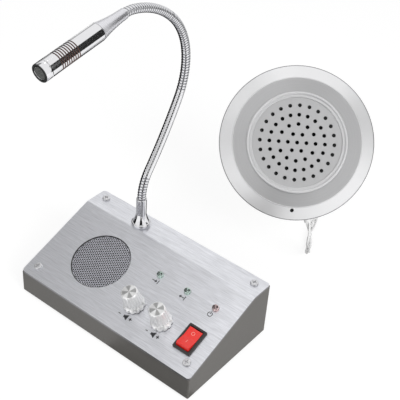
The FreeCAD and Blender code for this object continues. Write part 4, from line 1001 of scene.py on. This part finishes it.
# ---- perforated sheets ----
def perforated(name, radius, pitch, hole, thickness):
    """A round sheet of six-sided cells with round holes, cut round at its edge. Lengths in metres.

    The sheets on this object are drawn with their real holes, at their real size.
    """
    bpy.ops.object.select_all(action="DESELECT")
    corner = pitch / sqrt(3)
    bpy.ops.mesh.primitive_circle_add(vertices=CELL_CORNERS, radius=corner, fill_type="NGON")
    sheet = named(name)
    # every second corner comes in to the middle of a cell's side, so that cells lie side to side
    for k in range(0, CELL_CORNERS, 2):
        sheet.data.vertices[k].co *= cos(radians(30))
    edit(sheet, "FACE", "SELECT")
    bpy.ops.mesh.inset(thickness=(pitch - hole) / 2)
    bpy.ops.mesh.delete(type="FACE")
    leave()
    for vertex in sorted(sheet.data.vertices, key=lambda v: v.co.length)[:CELL_CORNERS]:
        vertex.co *= hole / 2 / vertex.co.length
    cell = len(sheet.data.vertices)
    # enough cells to cover the round sheet, though their rows slant
    count = 2 * ceil(2 * radius / pitch) + 4
    rows = ceil(2 * radius / corner / 1.5) + 2
    across = Vector((cos(radians(30)), sin(radians(30)), 0)) * pitch
    slanting = Matrix.Rotation(radians(60), 3, "Z") @ across
    steps = {"use_relative_offset": False, "use_constant_offset": True}
    for number, step in ((count, across), (rows, slanting)):
        apply_modifier(sheet, "ARRAY", count=number, constant_offset_displace=step, **steps)
    spots = [vertex.co.copy() for vertex in sheet.data.vertices]
    centres = [sum(spots[k : k + cell], Vector()) / cell for k in range(0, len(spots), cell)]
    goal = (across * (count - 1) + slanting * (rows - 1)) / 2
    middle = min(centres, key=lambda spot: (spot - goal).length)
    for part in (sheet.data.edges, sheet.data.polygons):
        part.foreach_set("select", [False] * len(part))
    past = radius + CELL_REACH * pitch
    for k, vertex in enumerate(sheet.data.vertices):
        centre = centres[k // cell]
        vertex.select = (centre - middle).length > past
        in_hole = (vertex.co - centre).length < CELL_RIM * pitch
        limit = radius - CELL_EDGE * pitch if in_hole else radius
        arm = vertex.co - middle
        if arm.length > limit:
            vertex.co = middle + arm * (limit / arm.length)
    edit(sheet)
    bpy.ops.mesh.delete(type="VERT")
    leave()
    sheet.data.transform(Matrix.Translation(-middle))
    tidy_mesh(sheet, pitch * 0.02)
    apply_modifier(sheet, "SOLIDIFY", thickness=thickness, offset=-1.0)
    return sheet


class INTERCOM_OT_speaker(bpy.types.Operator):
    """Fit the perforated mesh and finish the loudspeaker below it"""

    bl_idname = "intercom.speaker"
    bl_label = "Loudspeaker"

    def execute(self, context):
        sizes = context.scene.intercom_sizes
        face = slope_place(*SPEAKER_PLACE, GRILLE_RISE - PANEL_THICKNESS)
        radius = (SPEAKER_HOLE_RADIUS - MESH_EDGE_GAP) * MM
        mesh = perforated("speaker_mesh", radius, sizes.mesh_pitch, sizes.mesh_hole, MESH_THICKNESS * MM)
        settle(mesh, finish("stamped_steel_mesh"), "unit", face)
        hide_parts("speaker_grille")
        # the black felt round the mesh also gives painted shade at the hole's edge
        ring = turned("speaker_felt", self.felt(), 96)
        settle(ring, finish("black_felt"), "unit", face)
        dress("stoved_enamel", "speaker_basket", "window_speaker_basket")
        dress("pulp_cone", "speaker_cone", "window_speaker_cone")
        dress("ground_ferrite", "speaker_magnet", "window_speaker_magnet")
        return {"FINISHED"}

    def felt(self):
        """A ring that lies under the mesh's edge and stands up round it; its black strip round the mesh is
        also painted shade at the hole's edge.
        """
        outer = SPEAKER_HOLE_RADIUS - 0.03
        inner = SPEAKER_HOLE_RADIUS - FELT_WIDTH
        edge = SPEAKER_HOLE_RADIUS - MESH_EDGE_GAP + FELT_GAP
        under = -MESH_THICKNESS - FELT_GAP
        low = under - FELT_THICKNESS
        return [(inner, low), (outer, low), (outer, 0.1), (edge, 0.1), (edge, under), (inner, under)]


# ---- controls ----
class INTERCOM_OT_knobs(bpy.types.Operator):
    """Finish the two turned volume knobs"""

    bl_idname = "intercom.knobs"
    bl_label = "Knobs"

    def execute(self, context):
        tint = context.scene.intercom_colours.knob
        for side in ("left", "right"):
            joint = JOINTS["volume_%s_turn" % side]
            line = (Vector(joint["pos_m"]), Vector(joint["axis"]))
            body = turned_metal("turned_knob_" + side, tint, *line, 0.3, side=True, metallic=0.6)
            # the caps' pale and dark fans are painted highlights and painted shade
            face = turned_metal("faced_knob_top_" + side, tint, *line, 0.4, painted_fan_depth=0.5)
            finish_nodes(body, "knob_" + side, "pot_shaft_" + side)
            finish_nodes(face, "knob_cap_" + side)
        return {"FINISHED"}


class INTERCOM_OT_switch(bpy.types.Operator):
    """Finish the power switch and mould its on and off marks"""

    bl_idname = "intercom.switch"
    bl_label = "Power switch"

    def execute(self, context):
        dress("polished_red_nylon", "switch_rocker")
        dress("satin_black_nylon", "switch_housing")
        dress("tinned_brass", "switch_terminals")
        ring = turned("off_mark", [(1.05, -0.1), (1.35, -0.1), (1.35, 0.08), (1.05, 0.08)], 32)
        self.place(ring, 4.2, 0.0)
        bar = block("on_mark", 0.38, 2.4, 0.18)
        apply_modifier(bar, "BEVEL", width=0.05 * MM, segments=2)
        self.place(bar, -2.8, -ROCKER_TILT)
        return {"FINISHED"}

    def place(self, mark, along, tilt):
        """Set a mark on the rocker's rear half, which lies flat, or on its front half, which stands up."""
        lift = ROCKER_DIP + along * tan(radians(tilt))
        base = slope_place(KNOB_COLUMN + 2 * COLUMN_PITCH, CONTROL_ROW + along, lift)
        turn = Matrix.Rotation(radians(tilt), 4, "X")
        settle(mark, finish("filled_mark_enamel"), "rocker", base @ turn)


class INTERCOM_OT_lamps(bpy.types.Operator):
    """Make the three indicator lamps as clear domes over their frames"""

    bl_idname = "intercom.lamps"
    bl_label = "Indicator lamps"

    def execute(self, context):
        colours = context.scene.intercom_colours
        green = tinted_lens("tinted_green_epoxy", colours.lamp_on)
        red = tinted_lens("tinted_red_epoxy", colours.lamp_power)
        places = [slope_place(KNOB_COLUMN + COLUMN_PITCH * k, LAMP_ROW) for k in range(3)]
        activity = join("activity_lamp_domes", [self.dome(place) for place in places[:2]])
        settle(activity, green, "unit")
        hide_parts("activity_lamps")
        power = join("power_lamp_dome", [self.dome(places[2])])
        settle(power, red, "unit")
        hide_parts("power_lamp")
        # the cups and posts are painted near black, as painted dark reflections in the domes
        inner = [part for place in places for part in self.inside(place)]
        settle(join("lamp_frames", inner), finish("oxidised_lead_frame"), "unit")
        # the white floors are painted highlight, which brightens the domes from below
        floors = [self.floor(place) for place in places]
        settle(join("lamp_floors", floors), finish("cloudy_epoxy_floor"), "unit")
        return {"FINISHED"}

    def dome(self, place):
        """One lamp's dome, and its flange under the panel."""
        slant = LAMP_RADIUS * cos(radians(45))
        crown = LAMP_SHOULDER + LAMP_RADIUS
        top = arc((LAMP_RADIUS, LAMP_SHOULDER), (slant, LAMP_SHOULDER + slant), (0.0, crown), 12)
        outline = [(0, -2.5), (2.95, -2.5), (2.95, -1.5), (LAMP_RADIUS, -1.5), *top[:-1], (0, crown)]
        piece = turned("lamp_dome", outline, 48)
        select_only(piece)
        piece.matrix_world = place
        bpy.ops.object.transform_apply(location=True, rotation=True)
        return piece

    def inside(self, place):
        """The cup and the post inside one lamp, with its two legs."""
        cup = [(0.1, -1.2), (0.5, -1.2), (0.9, 1.9), (0.75, 1.9), (0.1, 1.7)]
        post = [(0, -1.2), (0.4, -1.2), (0.4, 1.2), (0.8, 1.9), (0, 1.95)]
        leg = [(0, -9.5), (0.25, -9.5), (0.25, -1.2), (0, -1.2)]
        rows = [("cup", cup, 24, -0.95, -0.05), ("post", post, 16, 1.15, 0.5)]
        rows += [("leg", leg, 8, side, 0) for side in (-LAMP_LEG_REACH, LAMP_LEG_REACH)]
        parts = []
        for name, outline, steps, x, y in rows:
            part = turned(name, outline, steps)
            part.data.transform(Matrix.Translation((x * MM, y * MM, 0)))
            part.data.transform(place)
            parts.append(part)
        return parts

    def floor(self, place):
        """The dished white floor that closes one lamp from below: a painted highlight that brightens its
        dome.
        """
        outline = [(0, -1.1), (2.35, -1.1), (2.35, 1.9), (2.15, 1.9), (1.7, 0.6), (0, 0.3)]
        floor = turned("lamp_floor", outline, 32)
        floor.data.transform(place)
        return floor


# ---- gooseneck ----
class INTERCOM_OT_gooseneck(bpy.types.Operator):
    """Wind the ribbed hose along its bends and turn the plated ferrule at its foot"""

    bl_idname = "intercom.gooseneck"
    bl_label = "Gooseneck"

    def execute(self, context):
        plate = bright_plate(context.scene.intercom_colours)
        self.ferrule(plate)
        for k in range(len(HOSE_HINGES)):
            self.length_of_hose(k, context.scene.intercom_sizes, plate)
        dress("bright_zinc_plate", "ferrule_nut")
        return {"FINISHED"}

    def ferrule(self, plate):
        """A round collar on the panel, a hollow taper and a straight neck, from the foot up."""
        outline = [(3.3, -7.4), (4.0, -7.4), (4.0, 0.0)]
        outline += arc((6.3, 0.0), (7.0, 0.3), (7.3, 1.0), 5)
        outline += arc((7.3, 2.4), (7.0, 3.1), (6.3, 3.4), 5)
        outline += arc((6.2, 3.55), (4.85, 6.95), (3.97, 10.5), 14)
        outline += [(3.95, 11.5), (3.95, 23.8)]
        outline += arc((3.95, 23.9), (3.85, 24.25), (3.6, 24.4), 4) + [(3.3, 24.4)]
        piece = turned("neck_ferrule", outline, 96)
        settle(piece, plate, "unit", Matrix.Translation(NECK_FOOT * MM), 40)
        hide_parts("ferrule")

    def length_of_hose(self, k, sizes, plate):
        """One length of close-wound hose, cut square at its ends and laid along the bends."""
        low, high = HOSE_CUTS[k : k + 2]
        depth = sizes.rib_depth / MM
        piece = self.winding("hose_length_%d" % (k + 1), low, high, sizes.rib_pitch / MM, depth)
        for height, way in ((low, -1), (high, 1)):
            edit(piece, choice="SELECT")
            cut = {"plane_co": (0, 0, height * MM), "plane_no": (0, 0, way)}
            bpy.ops.mesh.bisect(use_fill=True, clear_outer=True, **cut)
            leave()
        tidy_mesh(piece, 0.001 * MM)
        # faces deep in the grooves, where the windings stand open, get painted shade
        grooves = [
            hypot(face.center.x, face.center.y) < (HOSE_RADIUS - 0.5 * depth) * MM
            and self.opening(face.center.z / MM) > HOSE_SHADE_FROM
            for face in piece.data.polygons
        ]
        self.follow(piece)
        settle(piece, plate, None, angle=75)
        piece.data.materials.append(finish("steel_in_hose_groove"))
        for face, groove in zip(piece.data.polygons, grooves):
            face.material_index = int(groove)
        near, _ = hose_point(HOSE_HINGES[k] - HOSE_BEND_REACH)
        far, _ = hose_point(HOSE_HINGES[k] + HOSE_BEND_REACH)
        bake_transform(piece)
        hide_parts(*(["hose_1", "hose_2"] if k == 0 else ["hose_%d" % (k + 2)]))

    def winding(self, name, low, high, pitch, depth):
        """A straight winding of domed ribs, drawn at their real size, that reaches past both ends."""
        parts = [step / RIB_STEPS for step in range(RIB_STEPS + 1)]
        start = low - HOSE_SPARE_TURNS * pitch
        rib = [(HOSE_RADIUS - depth * (2 * part - 1) ** 2, start + pitch * part) for part in parts]
        piece = drawn(name, rib)
        leave()
        turns = ceil((high - low) / pitch) + 2 * HOSE_SPARE_TURNS
        steps = {"angle": 2 * pi, "steps": HOSE_STEPS, "render_steps": HOSE_STEPS, "iterations": turns}
        merge = {"use_merge_vertices": True, "merge_threshold": 0.001 * MM}
        apply_modifier(piece, "SCREW", screw_offset=pitch * MM, **steps, **merge)
        tidy_mesh(piece, 0.001 * MM)
        return piece

    def opening(self, distance):
        """How far the windings stand open, from the closed share up to one."""
        low, high = HOSE_CLOSED
        inside = min(distance - low, high - distance) / HOSE_CLOSED_EASE
        return 1 - (1 - HOSE_CLOSED_SHARE) * min(max(inside, 0), 1)

    def follow(self, piece):
        """Carry each vertex from the straight winding to its place along the hose."""
        for vertex in piece.data.vertices:
            spot, lean = hose_point(vertex.co.z / MM)
            radius = hypot(vertex.co.x, vertex.co.y)
            eased = HOSE_RADIUS * MM - (HOSE_RADIUS * MM - radius) * self.opening(vertex.co.z / MM)
            x, y = vertex.co.x * eased / radius, vertex.co.y * eased / radius
            vertex.co = spot * MM + Vector((x, y * cos(lean), -y * sin(lean)))


class INTERCOM_OT_microphone(bpy.types.Operator):
    """Turn the microphone's tail, barrel and rim, and set the mesh in its mouth"""

    bl_idname = "intercom.microphone"
    bl_label = "Microphone"

    def execute(self, context):
        sizes = context.scene.intercom_sizes
        plate = bpy.data.materials["buffed_chrome_plate"]
        place = mic_frame()
        tail = turned("mic_tail_turning", self.tail(), 96)
        settle(tail, finish("pearl_chrome_plate"), "microphone", place, 40)
        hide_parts("mic_tail")
        barrel = turned("mic_barrel_turning", self.barrel(), 96)
        settle(barrel, plate, "microphone", place, 28)
        self.tint(barrel, finish("copper_flash"), place, self.in_groove)
        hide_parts("mic_barrel")
        rim = turned("mic_rim_turning", self.rim(), 96)
        settle(rim, plate, "microphone", place, 28)
        self.tint(rim, finish("matt_black_lacquer"), place, self.in_mouth)
        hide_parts("mic_rim")
        pitch = sizes.mic_mesh_pitch
        hole = pitch * MIC_MESH_HOLE_SHARE
        mesh = perforated("mic_mouth_mesh", MIC_MESH_RADIUS * MM, pitch, hole, MIC_MESH_THICKNESS * MM)
        seat = place @ Matrix.Translation((0, 0, MIC_MESH_ALONG * MM))
        settle(mesh, finish("blackened_wire_cloth"), "microphone", seat)
        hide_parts("mic_mesh")
        dress("anodised_capsule", "mic_capsule", "window_mic_capsule")
        return {"FINISHED"}

    def tail(self):
        """The taper from the hose to the barrel, with the spigot that enters the barrel."""
        outline = [(3.32, -1.0), (3.4, -1.0)] + arc((3.55, -0.95), (3.66, -0.85), (3.7, -0.7), 3)
        outline += arc((3.7, 0.0), (4.5, 12.0), (6.22, 22.5), 18)
        outline += [(6.25, 22.7), (6.25, 22.85), (6.1, 23.0)]
        outline += [(5.35, 23.0), (5.35, 26.0), (1.7, 26.0), (1.7, 0.0), (3.32, 0.0)]
        return outline

    def barrel(self):
        """The barrel's wall, with its row of turned grooves."""
        low = MIC_TAIL_LENGTH + MIC_SEAM
        high = MIC_LENGTH - MIC_RIM_LENGTH
        inner = MIC_RADIUS - MIC_WALL
        outline = [(inner, low), (MIC_RADIUS - 0.15, low), (MIC_RADIUS, low + 0.15)]
        for k in reversed(range(MIC_GROOVES)):
            middle = MIC_LENGTH - MIC_GROOVE_START - k * MIC_GROOVE_PITCH
            for along, depth in ((-0.45, 0.0), (-0.3, 0.28), (0.0, 0.4), (0.3, 0.28), (0.45, 0.0)):
                outline.append((MIC_RADIUS - depth, middle + along))
        return outline + [(MIC_RADIUS, high - 0.15), (MIC_RADIUS - 0.15, high), (inner, high)]

    def rim(self):
        """The ring round the mouth, with the spigot that enters the barrel."""
        low = MIC_LENGTH - MIC_RIM_LENGTH + MIC_SEAM
        top = MIC_LENGTH
        outline = [(4.3, low - 3), (5.35, low - 3), (5.35, low), (6.1, low), (6.25, low + 0.15)]
        outline += [(6.25, top - 0.45), (6.1, top - 0.12), (5.8, top), (5.3, top), (5.05, top - 0.08)]
        return outline + [(4.95, top - 0.3), (4.4, top - 0.3), (4.3, top - 0.55)]

    def tint(self, piece, material, place, chosen):
        """Give a second finish to the faces at a chosen radius and distance along the microphone."""
        piece.data.materials.append(material)
        back = place.inverted()
        for face in piece.data.polygons:
            spot = (back @ face.center) / MM
            face.material_index = int(chosen(hypot(spot.x, spot.y), spot.z))

    def in_groove(self, radius, along):
        """Whether a face of the barrel lies in one of its grooves."""
        shallow, deep = MIC_GROOVE_TINT
        low, high = MIC_GROOVE_SPAN
        return MIC_RADIUS - deep < radius < MIC_RADIUS - shallow and low < along < high

    def in_mouth(self, radius, along):
        """Whether a face of the rim lies round the mouth, towards whoever speaks."""
        return radius > MIC_LACQUER_RADIUS and along > MIC_LENGTH - MIC_LACQUER_LENGTH


# ---- window unit ----
class INTERCOM_OT_window_unit(bpy.types.Operator):
    """Finish the window unit's bezel, bead, grille and back, and turn the rings along the bezel's edges"""

    bl_idname = "intercom.window_unit"
    bl_label = "Window unit"

    def execute(self, context):
        place = window_frame()
        dress("satin_anodised_bead", "window_bead")
        dress("satin_anodised_bevel", "window_bezel")
        dress("fine_blasted_disc", "window_grille")
        # a grey ring at the bezel's outer edge, painted as the shade and shadow along it, and the crest
        # between its bevel and its band
        edge = [(59.4, 0.0), (60.0, -0.3), (60.02, 0.0), (59.95, 0.06), (59.4, 0.33)]
        piece = turned("bezel_edge", edge, 128)
        settle(piece, finish("machined_edge"), "unit", place)
        crest = [(49.4, 4.8), (50.45, 4.5), (50.4, 4.84), (50.05, 5.05), (49.7, 5.1), (49.4, 5.04)]
        piece = turned("bevel_edge", crest, 128)
        settle(piece, finish("satin_anodised_bead"), "unit", place)
        self.band(context.scene.intercom_colours, place)
        dress("silver_moulded_abs", "window_back")
        dress("closed_cell_foam", "window_pad")
        dress("moulded_rubber", "window_mic_gasket")
        return {"FINISHED"}

    def band(self, colours, place):
        """The spun band on the bezel's flat, between the bead and the bevel."""
        bezel = frame["nodes"]["window_bezel"]
        turn = place.to_3x3()
        axis = (turn @ Vector((0, 0, 1))).normalized()
        centre = place.translation.copy()
        spun = turned_metal("spun_anodised_band", colours.band, centre, axis, 0.4, pitch=0.7)
        bezel.data.materials.append(spun)
        back = place.inverted()
        for face in bezel.data.polygons:
            spot = back @ face.center
            flat = (back.to_3x3() @ face.normal).z > 0.99
            if flat and BEAD_OUTER * MM < hypot(spot.x, spot.y) < WINDOW_BEVEL_RADIUS * MM:
                face.material_index = len(bezel.data.materials) - 1


class INTERCOM_OT_inside(bpy.types.Operator):
    """Finish the board, its fixings and the other pieces inside the case"""

    bl_idname = "intercom.inside"
    bl_label = "Inside"

    def execute(self, context):
        dress("green_solder_resist", "main_board")
        dress("moulded_epoxy", "board_components")
        hidden = ("board_spacers", "board_screws", "pot_nuts", "pot_housings", "speaker_clips")
        dress("bright_zinc_plate", *hidden)
        return {"FINISHED"}


class INTERCOM_PT_panel(bpy.types.Panel):
    bl_idname = "INTERCOM_PT_panel"
    bl_label = "Teller window intercom"
    bl_space_type = "VIEW_3D"
    bl_region_type = "UI"
    bl_category = "Intercom"

    def draw(self, context):
        scene = context.scene
        for group in (scene.intercom_sizes, scene.intercom_colours, scene.intercom_studio):
            for key in group.__annotations__:
                self.layout.prop(group, key)
        for step in STEPS:
            self.layout.operator(step.bl_idname)


STEPS = (
    INTERCOM_OT_studio,
    INTERCOM_OT_lead,
    INTERCOM_OT_case,
    INTERCOM_OT_marks,
    INTERCOM_OT_speaker,
    INTERCOM_OT_knobs,
    INTERCOM_OT_switch,
    INTERCOM_OT_lamps,
    INTERCOM_OT_gooseneck,
    INTERCOM_OT_microphone,
    INTERCOM_OT_window_unit,
    INTERCOM_OT_inside,
)
GROUPS = (IntercomColours, IntercomSizes, StudioSettings)


def register():
    for item in GROUPS + STEPS + (INTERCOM_PT_panel,):
        bpy.utils.register_class(item)
    bpy.types.Scene.intercom_colours = bpy.props.PointerProperty(type=IntercomColours)
    bpy.types.Scene.intercom_sizes = bpy.props.PointerProperty(type=IntercomSizes)
    bpy.types.Scene.intercom_studio = bpy.props.PointerProperty(type=StudioSettings)


def unregister():
    del bpy.types.Scene.intercom_colours
    del bpy.types.Scene.intercom_sizes
    del bpy.types.Scene.intercom_studio
    for item in reversed(GROUPS + STEPS + (INTERCOM_PT_panel,)):
        bpy.utils.unregister_class(item)


def main():
    register()
    for step in STEPS:
        group, name = step.bl_idname.split(".")
        getattr(getattr(bpy.ops, group), name)()


if __name__ == "__main__":
    main()
